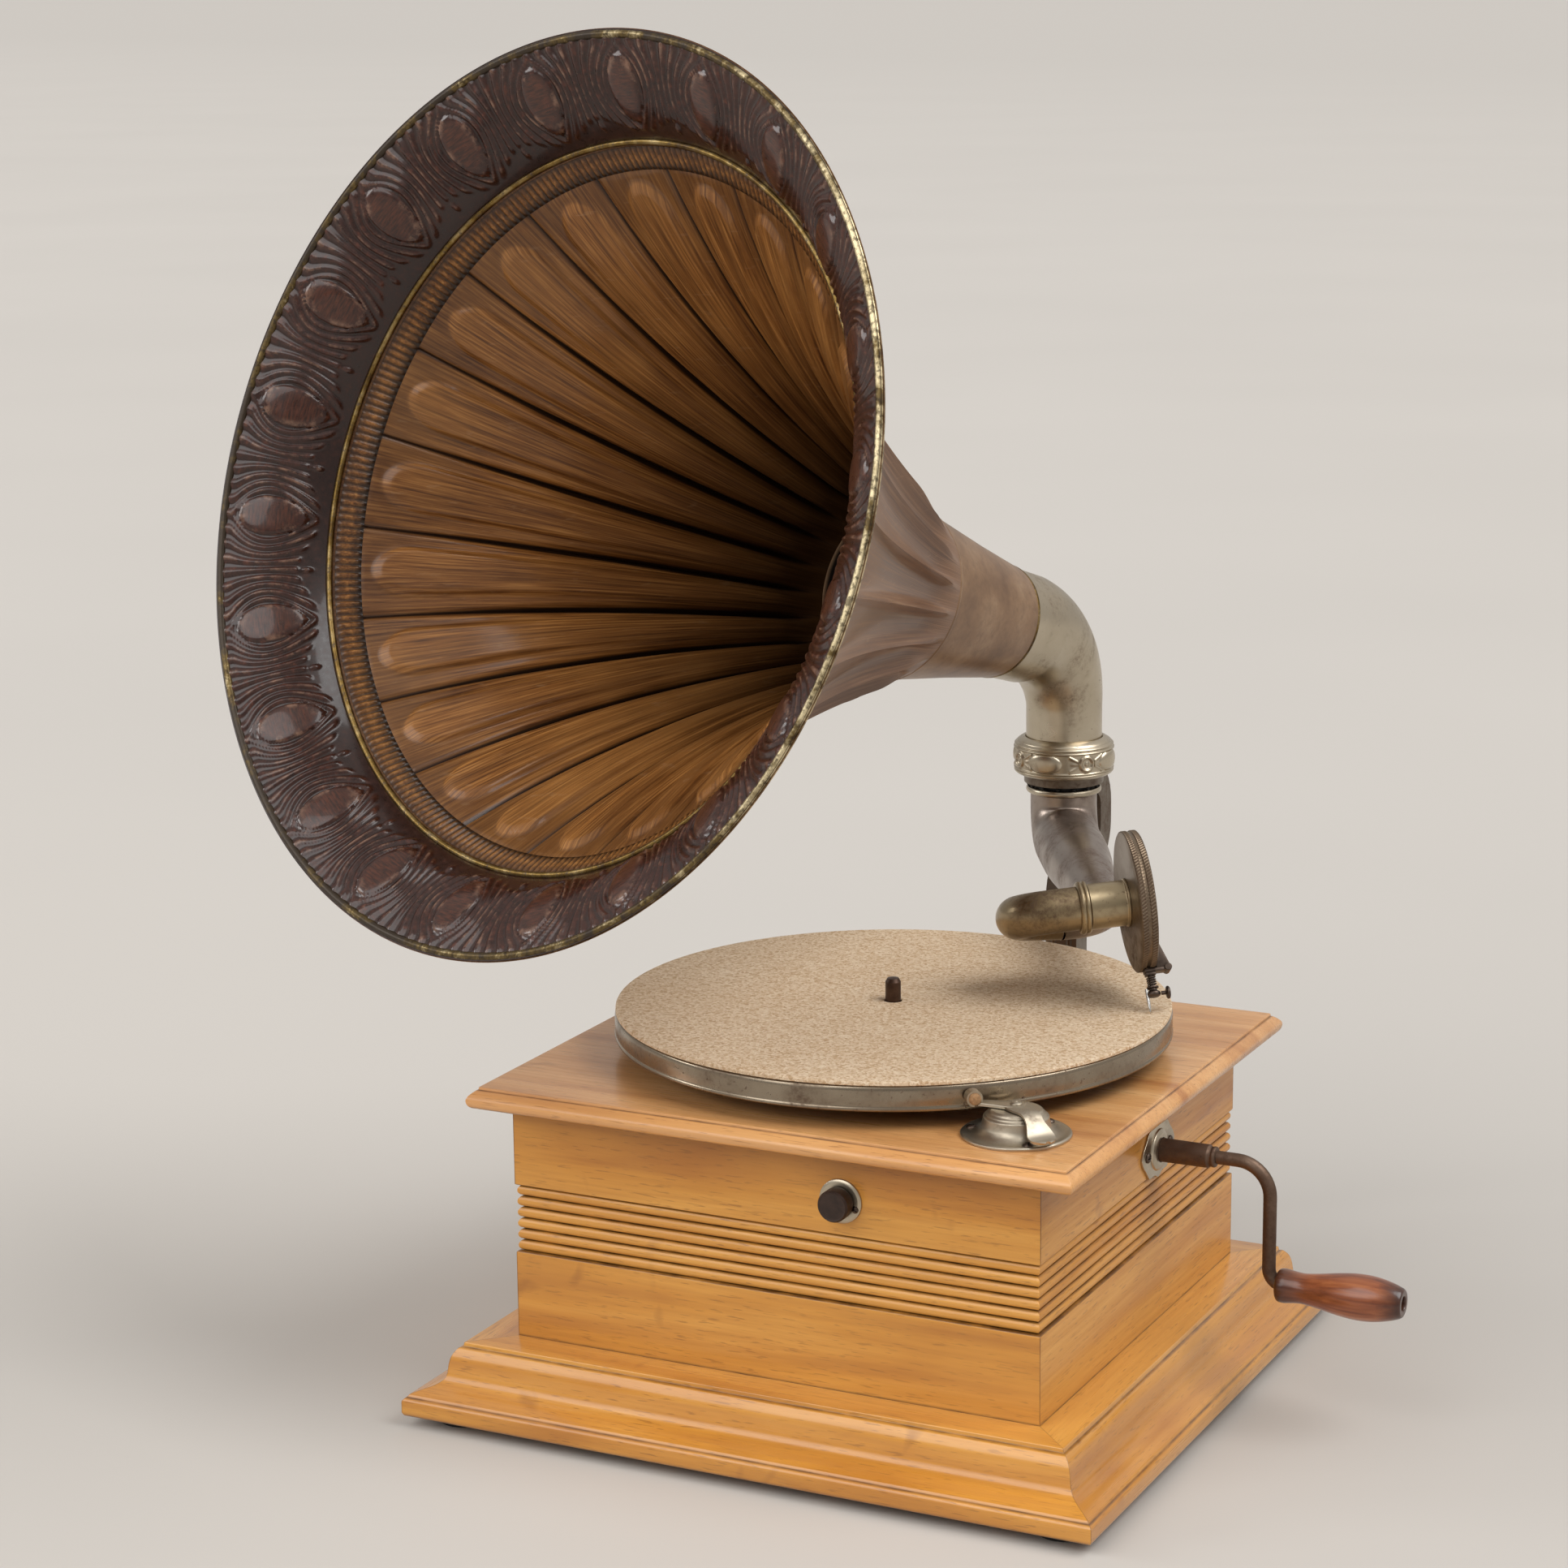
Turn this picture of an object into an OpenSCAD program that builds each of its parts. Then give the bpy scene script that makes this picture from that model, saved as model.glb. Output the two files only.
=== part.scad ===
// Horn gramophone: reeded wooden case, turntable, spring motor, tone arm and fluted horn.
// The origin is on the floor under the middle of the case, +Z up, the front faces -Y.

/* [Case] */
// Width of the case box
case_w = 250; // [240:1:260]
// Depth of the case box
case_d = 233; // [226:1:240]
// Height of the lid's top above the floor
lid_top_z = 151.8; // [148:0.1:156]
// Thickness of the case boards
board = 14; // [12:0.5:16]
// Number of beads in the reeded band
reeds = 6; // [4:1:8]

/* [Turntable] */
// Radius of the cork mat
mat_r = 125; // [123:0.5:126]
// Height of the mat's top above the floor
mat_top_z = 173.3; // [172:0.1:175]
// Radius of the centre pin that a record fits
pin_r = 3.5; // [3.2:0.1:3.6]

/* [Tone arm] */
// Distance from the swing axis to the needle point
reach = 214.3; // [205:0.1:220]
// Direction of the arm at rest, in degrees about +Z
arm_yaw = -57.42; // [-62:0.01:-50]
// Tilt of the sound box
box_tilt = 5; // [0:0.5:8]
// Radius of the sound box
box_r = 31.9; // [28:0.1:34]

/* [Horn] */
// Direction of the horn at rest, in degrees about +Z
horn_yaw = -17.72; // [-40:0.01:40]
// Rise of the horn's axis
horn_rise = 17.6; // [12:0.1:22]
// Outer radius of the horn's mouth
mouth_r = 197.4; // [180:0.1:200]
// Length of the horn's axis from the elbow's corner to the mouth
horn_len = 371.4; // [350:0.1:380]
// Number of flutes, and of ovals in the outer band
flutes = 22; // [18:1:26]

/* [Crank] */
// Throw of the crank
crank_throw = 54.5; // [45:0.5:60]
// Length of the wooden grip
grip_len = 57; // [50:1:62]

/* [Hidden] */
$fn = 48;
eps = 0.01;

wood = [0.78, 0.55, 0.27];
wood_top = [0.74, 0.49, 0.25];
nickel = [0.72, 0.69, 0.62];
steel = [0.45, 0.42, 0.40];
brass = [0.72, 0.60, 0.32];
iron = [0.22, 0.22, 0.23];
rust = [0.36, 0.27, 0.22];
mahogany = [0.27, 0.14, 0.09];
walnut = [0.50, 0.33, 0.18];
cork = [0.70, 0.56, 0.38];

half_w = case_w / 2;
half_d = case_d / 2;

// Plinth
plinth_bottom_z = 4.8;
plinth_top_z = 35.8;
plinth_out = 38.3;
foot_r = 12;

// Case walls and lid
lid_under_z = 142.6;
lid_left = half_w + 16;
lid_right = half_w + 19;
lid_front = half_d + 13.7;
reed_low_z = 75.3;
reed_high_z = 105.7;
reed_step = (reed_high_z - reed_low_z) / reeds;
reed_r = reed_step / 2 - 0.12;
reed_sink = 0.7;

// Turntable and motor axes, in plan
spin_x = 2.2;
spin_y = 6.0;
barrel_x = 62;
barrel_y = 16.45;
link_x = 28.43;
link_y = -15.0;
governor_x = -15.2;
governor_z = 95;
plate_z = 126;
plate_t = 3;
base_z = 56;

// Gear sizes
wheel_mod = 0.8;
wheel_teeth = 72;
pinion_teeth = 12;
barrel_mod = 1.0;
barrel_teeth = 80;
worm_wheel_teeth = 30;
crown_teeth = 36;
crown_z = 108.2;

// Speed control
knob_x = 34.2;
knob_z = 121.2;

// Brake
brake_x = 102.8;
brake_y = -90.2;

// Crank
crank_y = 16.45;
crank_z = 116.7;
rod_r = 3;
leg_x = 178;
grip_x = 182.2;

// Tone arm, in its own frame: x forward to the needle, y to its left, z up
arm_x = 0.6;
arm_y = 212;
seat_z = 238;
arm_top_z = 230.2;
arm_r = 16.4;
arm_end_r = 9.9;
arm_bend_r = 17.5;
arm_drift = 8;
elbow_r = 24;
taper_from = 55;
arm_wall = 1.2;
seam_y = -31.5;
neck_r = 9.8;
neck_wall = 1.0;
neck_sides = 30;
neck_spread = 19;
box_half = 3.9;
needle_lean = 30;
tip_drop = 52;
needle_side = -1.95;
neck_run = 37.8;

a_dir = [0, cos(box_tilt), sin(box_tilt)];
w_dir = [0, -sin(box_tilt), cos(box_tilt)];
x_dir = [1, 0, 0];
tip = [reach, 0, mat_top_z + 0.15];
down_dir = sin(needle_lean) * x_dir - cos(needle_lean) * w_dir;
box_c = tip - needle_side * a_dir - tip_drop * down_dir;

// Neck bend: from the back leg, heading -y, up and forward, then along the sound box axis
up_dir = [cos(neck_spread), 0, sin(neck_spread)];
fold = acos(up_dir * a_dir);
side_dir = (a_dir - (a_dir * up_dir) * up_dir) / sin(fold);
leg_dx = 26;
neck_bend = leg_dx / (cos(neck_spread) * (1 + sin(fold)) + (1 - cos(fold)) * side_dir[0]);
front_end = box_c - neck_run * a_dir;
bend_mid = front_end - neck_bend * (1 - cos(fold)) * side_dir - neck_bend * sin(fold) * up_dir;
back_end = bend_mid - neck_bend * up_dir + neck_bend * [0, 1, 0];
arm_z = back_end[2];

// Arm route in plan
drift_yaw = -atan(arm_drift / (back_end[0] - elbow_r));
fwd = [cos(drift_yaw), sin(drift_yaw), 0];
left_turn = [sin(drift_yaw), -cos(drift_yaw), 0];
elbow_turn = 90 + drift_yaw;
elbow_adv = elbow_r * sin(elbow_turn) * fwd + elbow_r * (1 - cos(elbow_turn)) * left_turn;
elbow_start = (back_end[0] - elbow_adv[0]) / fwd[0];
elbow_out = [elbow_start * fwd[0], elbow_start * fwd[1], arm_z] + elbow_adv;

// Horn
corner_z = 303.2;
tube_r = 18.7;
horn_joint = 56;
horn_joint_r = 27.8;
seam_at = 132;
seam_r = 41;
bead_at = 338.1;
bead_r = 158.4;
elbow_bend = 45;
elbow_fold = 90 - horn_rise;
sheet = 1.2;
flute_steps = 6;
bell_rings = 9;

// Coil under the sound box
spring_wire = 0.3;
spring_curls = 4;
spring_pitch = 1.03;
spring_r = 1.9;
spring_points = [
    for (i = [0:8 * spring_curls])
        [
            box_r + 3.3 + spring_pitch * i / 8,
            spring_r * cos(45 * i),
            0.9 + spring_r * sin(45 * i)
        ]
];
spring_gap = min([
    for (i = [0:len(spring_points) - 7], j = [i + 6:len(spring_points) - 1])
        norm(spring_points[i] - spring_points[j])
]) - 2 * spring_wire;
echo(str("Least gap of the coil: ", spring_gap, " mm"));

function unit(v) = v / norm(v);
function side_of(v) = unit(abs(v[2]) < 0.9 ? cross([0, 0, 1], v) : cross([1, 0, 0], v));
function place(p, x, y, z) = [
    [x[0], y[0], z[0], p[0]],
    [x[1], y[1], z[1], p[1]],
    [x[2], y[2], z[2], p[2]],
    [0, 0, 0, 1]
];
// Radius of the bell at a distance along the axis
function bell_r(l) = seam_r + (bead_r - seam_r) * (exp((l - seam_at) / (bead_at - seam_at)) - 1) / (exp(1) - 1);
// Radius of the outer flare, from the bead ring to the rim
function flare_r(q) = bead_r + (mouth_r - bead_r) * (0.55 * q + 0.45 * q * q);

// Turns the next shape so that its z axis lies along a direction
module along(p, dir) {
    s = side_of(dir);
    multmatrix(place(p, s, cross(dir, s), dir)) children();
}

// A bend that starts at p, heads along one direction and turns towards another
module rod_bend(p, heading, toward, r, turn, ro) {
    multmatrix(place(p + r * toward, -toward, heading, cross(-toward, heading)))
        rotate_extrude(angle = turn)
            translate([r, 0]) circle(r = ro);
}

// Closed mesh from rings of equal size; the last ring joins the first
module ring_loop(rings) {
    n = len(rings);
    m = len(rings[0]);
    polyhedron(
        points = [for (r = rings, p = r) p],
        faces = [
            for (i = [0:n - 1], j = [0:m - 1])
                let (a = i * m + j, b = i * m + (j + 1) % m)
                let (c = ((i + 1) % n) * m + j, d = ((i + 1) % n) * m + (j + 1) % m)
                each [[a, c, b], [b, c, d]]
        ],
        convexity = 8
    );
}

// Solid strand of six sides along a path of points
module strand(path, r) {
    n = len(path);
    rings = [
        for (i = [0:n - 1])
            let (t = unit(path[min(i + 1, n - 1)] - path[max(i - 1, 0)]))
            let (s = unit(cross([1, 0, 0], t)), u = cross(t, s))
            [for (k = [0:5]) path[i] + r * cos(60 * k) * s + r * sin(60 * k) * u]
    ];
    polyhedron(
        points = [for (ring = rings, p = ring) p],
        faces = concat(
            [for (k = [1:4]) [0, k, k + 1]],
            [for (k = [1:4]) [(n - 1) * 6, (n - 1) * 6 + k + 1, (n - 1) * 6 + k]],
            [
                for (i = [0:n - 2], k = [0:5])
                    let (a = i * 6 + k, b = i * 6 + (k + 1) % 6)
                    each [[a, a + 6, b], [b, a + 6, b + 6]]
            ]
        ),
        convexity = 8
    );
}

// Spur gear with straight-flanked teeth; a tooth points along the phase angle
module gear(teeth, mod, h, bore, phase = 0) {
    tip_r = mod * (teeth / 2 + 0.8);
    root_r = mod * (teeth / 2 - 1.1);
    pitch = 360 / teeth;
    corners = [[-0.29, root_r], [-0.13, tip_r], [0.13, tip_r], [0.29, root_r]];
    difference() {
        linear_extrude(h)
            polygon([
                for (i = [0:teeth - 1], c = corners)
                    let (a = (i + c[0]) * pitch + phase) c[1] * [cos(a), sin(a)]
            ]);
        translate([0, 0, -1]) cylinder(r = bore, h = h + 2);
    }
}

// Phase that meshes the next gear with one at phase_a, seen along delta
function mesh_phase(delta, pitch_a, pitch_b, phase_a) =
    let (f = round((delta - phase_a) / pitch_a) - (delta - phase_a) / pitch_a)
    delta + 180 - f * pitch_b + pitch_b / 2;

link_delta = atan2(link_y - spin_y, link_x - spin_x);
wheel_phase = mesh_phase(link_delta, 360 / pinion_teeth, 360 / wheel_teeth, 0);
barrel_delta = atan2(barrel_y - link_y, barrel_x - link_x);
barrel_phase = mesh_phase(barrel_delta, 360 / pinion_teeth, 360 / barrel_teeth, 0);

module screw_head(r, h) {
    difference() {
        rotate_extrude() polygon([[0, 0], [r, 0], [r, h * 0.35], [r * 0.72, h * 0.85], [0, h]]);
        translate([-r, -r * 0.11, h * 0.55]) cube([2 * r, r * 0.22, h]);
    }
}

// Outline of the plinth moulding: outward distance and height
module plinth_outline() {
    difference() {
        polygon([
            [-12, plinth_bottom_z], [plinth_out - 1.5, plinth_bottom_z],
            [plinth_out, plinth_bottom_z + 1.8], [plinth_out, 12.2], [plinth_out - 0.8, 13.4],
            [36.2, 13.8], [35.8, 14.9], [22.9, 19.4], [22.9, 29], [19.2, 33.7],
            [17.9, 33.9], [17.6, plinth_top_z], [-12, plinth_top_z]
        ]);
        translate([35.8, 14.9 + 13.4]) circle(r = 13.4);
    }
    intersection() {
        translate([19.2, 29.1]) circle(r = 4.6);
        translate([18, 29]) square([8, 8]);
    }
    translate([22.4, 19]) square([1.4, 10.1]);
    polygon([[22, 14], [35.8, 14.2], [35.8, 14.9], [30, 16.1], [26, 18.3], [24.2, 21], [23.8, 24], [22, 24]]);
}

// A length of plinth along x with its ends cut at 45 degrees
module plinth_length(half_len, half_off) {
    intersection() {
        translate([-half_len - plinth_out, -half_off, 0])
            rotate([90, 0, 90])
                linear_extrude(2 * (half_len + plinth_out))
                    mirror([1, 0]) plinth_outline();
        linear_extrude(60)
            polygon([
                [-half_len - plinth_out, -half_off - plinth_out],
                [half_len + plinth_out, -half_off - plinth_out],
                [half_len - 12, -half_off + 12],
                [-half_len + 12, -half_off + 12]
            ]);
    }
}

// A case board along x at -half_off: flat bands and a sunk band of beads
module case_wall(half_len, half_off) {
    depth = reed_sink + reed_r;
    intersection() {
        union() {
            difference() {
                translate([-half_len, -half_off, plinth_top_z])
                    cube([2 * half_len, board, lid_under_z - plinth_top_z]);
                translate([-half_len - 1, -half_off - 1, reed_low_z])
                    cube([2 * half_len + 2, 1 + depth, reed_high_z - reed_low_z]);
            }
            for (i = [0:reeds - 1])
                translate([-half_len, -half_off + depth, reed_low_z + (i + 0.5) * reed_step])
                    rotate([0, 90, 0]) cylinder(r = reed_r, h = 2 * half_len, $fn = 32);
        }
        linear_extrude(200)
            polygon([
                [-half_len, -half_off], [half_len, -half_off],
                [half_len - board, -half_off + board], [-half_len + board, -half_off + board]
            ]);
    }
}

module feet() {
    color(iron)
        for (sx = [-1, 1], sy = [-1, 1])
            translate([sx * (half_w + 18), sy * (half_d + 18), 0])
                rotate_extrude() polygon([[0, 0], [foot_r - 1, 0], [foot_r, 1], [foot_r, plinth_bottom_z], [0, plinth_bottom_z]]);
}

module bottom_board() {
    color(wood)
        translate([-half_w + 12, -half_d + 12, 12])
            cube([case_w - 24, case_d - 24, 8]);
}

module plinth_front() { color(wood) plinth_length(half_w, half_d); }
module plinth_back() { color(wood) rotate(180) plinth_length(half_w, half_d); }
module plinth_left() { color(wood) rotate(-90) plinth_length(half_d, half_w); }
module plinth_right() { color(wood) rotate(90) plinth_length(half_d, half_w); }

module case_front() {
    color(wood)
        difference() {
            case_wall(half_w, half_d);
            translate([knob_x, -half_d - 1, knob_z]) rotate([-90, 0, 0]) cylinder(r = 4, h = board + 2);
        }
}
module case_back() { color(wood) rotate(180) case_wall(half_w, half_d); }
module case_left() { color(wood) rotate(-90) case_wall(half_d, half_w); }
module case_right() {
    color(wood)
        difference() {
            rotate(90) case_wall(half_d, half_w);
            translate([half_w - board - 1, crank_y, crank_z]) rotate([0, 90, 0]) cylinder(r = 8, h = board + 2);
        }
}

module corner_blocks() {
    block = 16;
    color(wood)
        for (sx = [-1, 1], sy = [-1, 1])
            translate([sx * (half_w - board), sy * (half_d - board), 20])
                linear_extrude(lid_under_z - 20)
                    polygon([[0, 0], [-sx * block, 0], [0, -sy * block]]);
}

// Edge of the lid: small step on top, quarter-round nose, flat underside
module lid_outline(lo, hi) {
    step = 4.3;
    nose = 5;
    polygon(concat(
        [[hi - step, lid_top_z], [hi - step, lid_top_z - 1.2]],
        [for (a = [90:-15:0]) [hi - nose + nose * cos(a), lid_top_z - 1.3 - nose + nose * sin(a)]],
        [[hi - 0.7, lid_top_z - 7.4], [hi - 5, lid_under_z]],
        [[lo + 5, lid_under_z], [lo + 0.7, lid_top_z - 7.4]],
        [for (a = [180:-15:90]) [lo + nose + nose * cos(a), lid_top_z - 1.3 - nose + nose * sin(a)]],
        [[lo + step, lid_top_z - 1.2], [lo + step, lid_top_z]]
    ));
}

module top_board() {
    color(wood_top)
        difference() {
            intersection() {
                translate([0, 200, 0]) rotate([90, 0, 0]) linear_extrude(400) lid_outline(-lid_left, lid_right);
                translate([-200, 0, 0]) rotate([90, 0, 90]) linear_extrude(400) lid_outline(-lid_front, lid_front);
            }
            translate([spin_x, spin_y, 100]) cylinder(r = 11, h = 100);
            for (p = bolt_places) translate([p[0], p[1], 100]) cylinder(r = 2.6, h = 100);
        }
}

bolt_places = [[-45, -62], [95, -62], [95, 62], [-45, 62]];
pillar_places = [[-48, -48], [100, -48], [98, 66], [-48, 48]];

// Cast arm behind the case: foot plate, curved arm, column and the seat of the horn and tone arm
bracket_w = 16.5;
column_y = 218;
module horn_bracket() {
    color(nickel) {
        difference() {
            union() {
                // foot plate on the back board
                translate([0, half_d, 82]) rotate([-90, 0, 0]) linear_extrude(5)
                    union() {
                        square([30, 62], center = true);
                        translate([0, 31]) circle(r = 15);
                        translate([0, -31]) circle(r = 15);
                    }
                // lower arm and column
                translate([-bracket_w / 2, 0, 0]) rotate([90, 0, 90]) linear_extrude(bracket_w) bracket_arm();
                translate([-bracket_w / 2 + 1, arm_y + 18.9, 232.6]) cube([bracket_w - 2, 4, 3.7]);
                // seat of the horn elbow and the arm's bearing
                translate([arm_x, arm_y, 0])
                    rotate_extrude()
                        polygon([
                            [15.72, 232.5], [19.6, 232.5], [19.6, 237.4], [21.6, 238.4], [21.6, 249],
                            [18.78, 249], [18.78, seat_z], [15.72, seat_z]
                        ]);
            }
            for (s = [-1, 1])
                translate([0, half_d - 1, 82 + s * 34]) rotate([-90, 0, 0]) cylinder(r = 2.2, h = 12);
            for (s = [-1, 1])
                translate([s * bracket_w / 4, column_y - 7.6, 110]) cylinder(r = 1.6, h = 62);
        }
    }
}

// Middle line of the curved arm in its side view: y, z and heading
function arc_path(c, r, from, to, turn) =
    [for (i = [0:8]) let (a = from + (to - from) * i / 8) [c[0] + r * cos(a), c[1] + r * sin(a), a + turn]];

// Side view of the curved arm, y across and z up
module bracket_arm() {
    t = 7;
    low = 82;
    r1 = 36;
    bow = 16;
    neck_z = seat_z - 1.6 - t;
    line = concat(
        [[half_d + 1, low, 0]],
        arc_path([column_y - r1, low + r1], r1, -90, 0, 90),
        arc_path([column_y + bow, 172], bow, 180, 90, -90),
        arc_path([column_y + bow, 172 + 2 * bow], bow, -90, 0, 90),
        arc_path([column_y + bow, neck_z - bow], bow, 0, 90, 90),
        [[arm_y + 20, neck_z, 180]]
    );
    left = [for (q = line) [q[0] - t * sin(q[2]), q[1] + t * cos(q[2])]];
    right = [for (q = line) [q[0] + t * sin(q[2]), q[1] - t * cos(q[2])]];
    polygon(concat(left, reversed(right)));
}

module bracket_screws() {
    color(steel)
        for (s = [-1, 1])
            translate([0, half_d + 5, 82 + s * 34]) rotate([-90, 0, 0]) {
                screw_head(4, 2.4);
                translate([0, 0, -13]) cylinder(r = 2.1, h = 13.1);
            }
}

// Ornamental nut round the elbow's foot
module collar_nut() {
    turns = [0:90:270];
    color(nickel)
        translate([arm_x, arm_y, 0]) {
            rotate_extrude()
                polygon([
                    [18.8, 255.2], [19.6, 255.6], [23.6, 253.2], [24.6, 252.2], [23.8, 251.4],
                    [25, 249.8], [25.1, 243], [24.4, 240.4], [24.8, 239.2], [23.9, 237.4],
                    [21, 236.9], [19.65, 236.6], [19.65, 237.2], [21.7, 238.3], [21.7, 249.4], [18.8, 249.4]
                ]);
            // four swellings and four small rings round the band
            for (a = turns)
                intersection() {
                    rotate_extrude() polygon([[22, 240.4], [27, 240.4], [27, 251.4], [22, 251.4]]);
                    rotate(a - 1.9) translate([12.1, 0, 245.6]) sphere(r = 14);
                }
            for (a = turns)
                rotate(a + 49.6)
                    translate([24.2, 0, 245.4])
                        rotate([0, 90, 0])
                            difference() {
                                cylinder(r = 4.3, h = 1.4);
                                translate([0, 0, -1]) cylinder(r = 2.4, h = 4);
                            }
        }
}

// Scalloped nickel plate round the crank shaft
module crank_escutcheon() {
    color(nickel)
        translate([half_w, crank_y, crank_z]) rotate([90, 0, 90])
            difference() {
                union() {
                    linear_extrude(1)
                        union() {
                            circle(r = 11.5);
                            for (s = [-1, 1]) {
                                translate([s * 12, 0]) circle(r = 7);
                                translate([s * 7, 6]) circle(r = 4.6);
                                translate([s * 7, -6]) circle(r = 4.6);
                            }
                        }
                    rotate_extrude() polygon([[5.6, 0], [9.6, 0], [9.2, 1.8], [7, 2.8], [5.6, 2.8]]);
                }
                translate([0, 0, -1]) cylinder(r = 5.6, h = 6);
                for (s = [-1, 1]) translate([s * 13.6, 0, -1]) cylinder(r = 1.3, h = 4);
            }
}

module escutcheon_screws() {
    color(steel)
        for (s = [-1, 1])
            translate([half_w + 1, crank_y + s * 13.6, crank_z]) rotate([90, 0, 90]) {
                screw_head(2.4, 1.4);
                translate([0, 0, -8]) cylinder(r = 1.25, h = 8.1);
            }
}

module speed_escutcheon() {
    color(nickel)
        translate([knob_x, -half_d, knob_z]) rotate([90, 0, 0]) {
            difference() {
                rotate_extrude() polygon([[2.26, 0], [9.8, 0], [9.8, 0.8], [9.2, 1.2], [2.26, 1.4]]);
                rotate(-20) translate([7.6, 0, -1]) cylinder(r = 0.9, h = 4);
            }
            rotate(-20) translate([7.6, 0, 0.8]) screw_head(1.6, 1.2);
        }
}

// Stepped nickel foot of the turntable brake
module brake_base() {
    color(nickel)
        translate([brake_x, brake_y, 0])
            difference() {
                rotate_extrude()
                    polygon([
                        [0, lid_top_z], [23.5, lid_top_z], [23.5, 152.9], [22.9, 153.5], [22.2, 153.2],
                        [19.5, 153], [17.5, 153.4], [15.6, 154.4], [14.4, 156.2], [14.1, 158.6],
                        [13.9, 160.2], [13, 160.7], [12.9, 161.3], [12, 161.7], [11.2, 163],
                        [10.2, 163.4], [0, 163.4]
                    ]);
                for (a = [67, 187, 307]) rotate(a) translate([19.4, 0, 150]) cylinder(r = 1.3, h = 8);
                translate([0, 0, 153]) cylinder(r = 2.06, h = 20);
            }
}

module brake_screws() {
    color(steel)
        for (a = [67, 187, 307])
            translate([brake_x, brake_y, 0]) rotate(a) translate([19.4, 0, 153.65]) {
                screw_head(2.3, 1.3);
                translate([0, 0, -8]) cylinder(r = 1.25, h = 8.1);
            }
}

// Flat lever: a finger tab that steps down, and a curl that holds the pad
pad_z = 166.5;
pad_r = 2.6;
pad_at = -50.25;

// Frame whose z axis leaves the turntable through the brake pad
module pad_frame() {
    translate([spin_x, spin_y, pad_z]) rotate([0, 90, pad_at]) children();
}
module brake_lever() {
    z0 = 163.75;
    t = 1.4;
    tab = -38.3;
    color(nickel)
        difference() {
            union() {
                translate([brake_x, brake_y, z0]) {
                    cylinder(r = 6.2, h = t);
                    rotate(188.8)
                        linear_extrude(t) polygon([[0, -4.6], [8, -3.2], [15.6, -2.4], [15.6, 2.4], [8, 3.2], [0, 4.6]]);
                    rotate(tab) {
                        linear_extrude(t) polygon([[0, -5], [12.4, -4.2], [12.4, 4.2], [0, 5]]);
                        translate([12, 0, t])
                            rotate([0, 43, 0])
                                translate([0, 0, -t])
                                    linear_extrude(t)
                                        polygon([[0, -4.2], [5, -4.2], [12.8, -5.9], [12.8, 5.9], [5, 4.2], [0, 4.2]]);
                        translate([21.1, 0, -8.6])
                            intersection() {
                                cylinder(r = 5.9, h = t);
                                translate([0, -6, -1]) cube([6, 12, 4]);
                            }
                    }
                }
                // curl round the pad
                pad_frame()
                    translate([0, 0, 126.4]) rotate(60)
                        rotate_extrude(angle = 300) translate([pad_r + 0.02, 0]) square([0.9, 5]);
            }
            pad_frame() translate([0, 0, 120]) cylinder(r = pad_r + 0.04, h = 20);
            translate([brake_x, brake_y, 160]) cylinder(r = 2.06, h = 10);
        }
}

module brake_pad() {
    color([0.62, 0.47, 0.33])
        pad_frame()
            translate([0, 0, 125.6])
                rotate_extrude() polygon([[0, 0], [pad_r, 0], [pad_r, 7.2], [pad_r - 0.8, 8], [0, 8]]);
}

module brake_pivot_screw() {
    color(steel)
        translate([brake_x, brake_y, 0]) {
            translate([0, 0, 165.2]) screw_head(2.6, 1.1);
            translate([0, 0, 153.4]) cylinder(r = 2, h = 12);
        }
}

// Round knob in front, with its threaded shaft
module speed_knob() {
    color(rust)
        translate([knob_x, -half_d, knob_z]) rotate([90, 0, 0]) {
            rotate_extrude() polygon([[0, 1.8], [6.2, 1.8], [6.8, 2.4], [7, 3.2], [7, 8.2], [6.3, 9.2], [5.6, 9], [0, 9]]);
            translate([0, 0, -38.8]) cylinder(r = 2.2, h = 40.8);
        }
}

// Lever that presses the speed pad on the governor's disc
lever_pivot = [8, -60];
module speed_lever() {
    color(brass) {
        translate([lever_pivot[0], lever_pivot[1], 118.5])
            difference() {
                linear_extrude(2)
                    polygon([
                        [0, 5], [-4, 3.8], [-25.1, -5.5], [-23.6, -10.3], [-2, -4.8],
                        [2, -4.6], [24.7, -17.2], [27.2, -12.8], [4.5, 3]
                    ]);
                translate([0, 0, -1]) cylinder(r = 2.56, h = 5);
            }
        translate([governor_x - 1.5, -69, 104.5]) cube([3, 3, 15]);
        translate([governor_x - 3.5, -69, 98.5]) cube([7, 4.2, 6.5]);
    }
}

module motor_bedplate() {
    color(iron)
        difference() {
            union() {
                translate([-56, -72, plate_z]) cube([164, 146, plate_t]);
                for (p = bolt_places)
                    translate([p[0], p[1], plate_z]) cylinder(r = 7, h = lid_under_z - plate_z);
                translate([spin_x, spin_y, plate_z - 4]) cylinder(r = 8, h = 10);
                translate([lever_pivot[0], lever_pivot[1], 116]) cylinder(r = 2.5, h = 11);
            }
            translate([spin_x, spin_y, 100]) cylinder(r = 5.06, h = 60);
            translate([barrel_x, barrel_y, 100]) cylinder(r = 4.06, h = 60);
            translate([link_x, link_y, 100]) cylinder(r = 3.06, h = 60);
            for (p = bolt_places) translate([p[0], p[1], 100]) cylinder(r = 2.6, h = 100);
            translate([-36, 20, 100]) cylinder(r = 12, h = 60);
            translate([60, -50, 100]) cylinder(r = 14, h = 60);
        }
}

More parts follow.
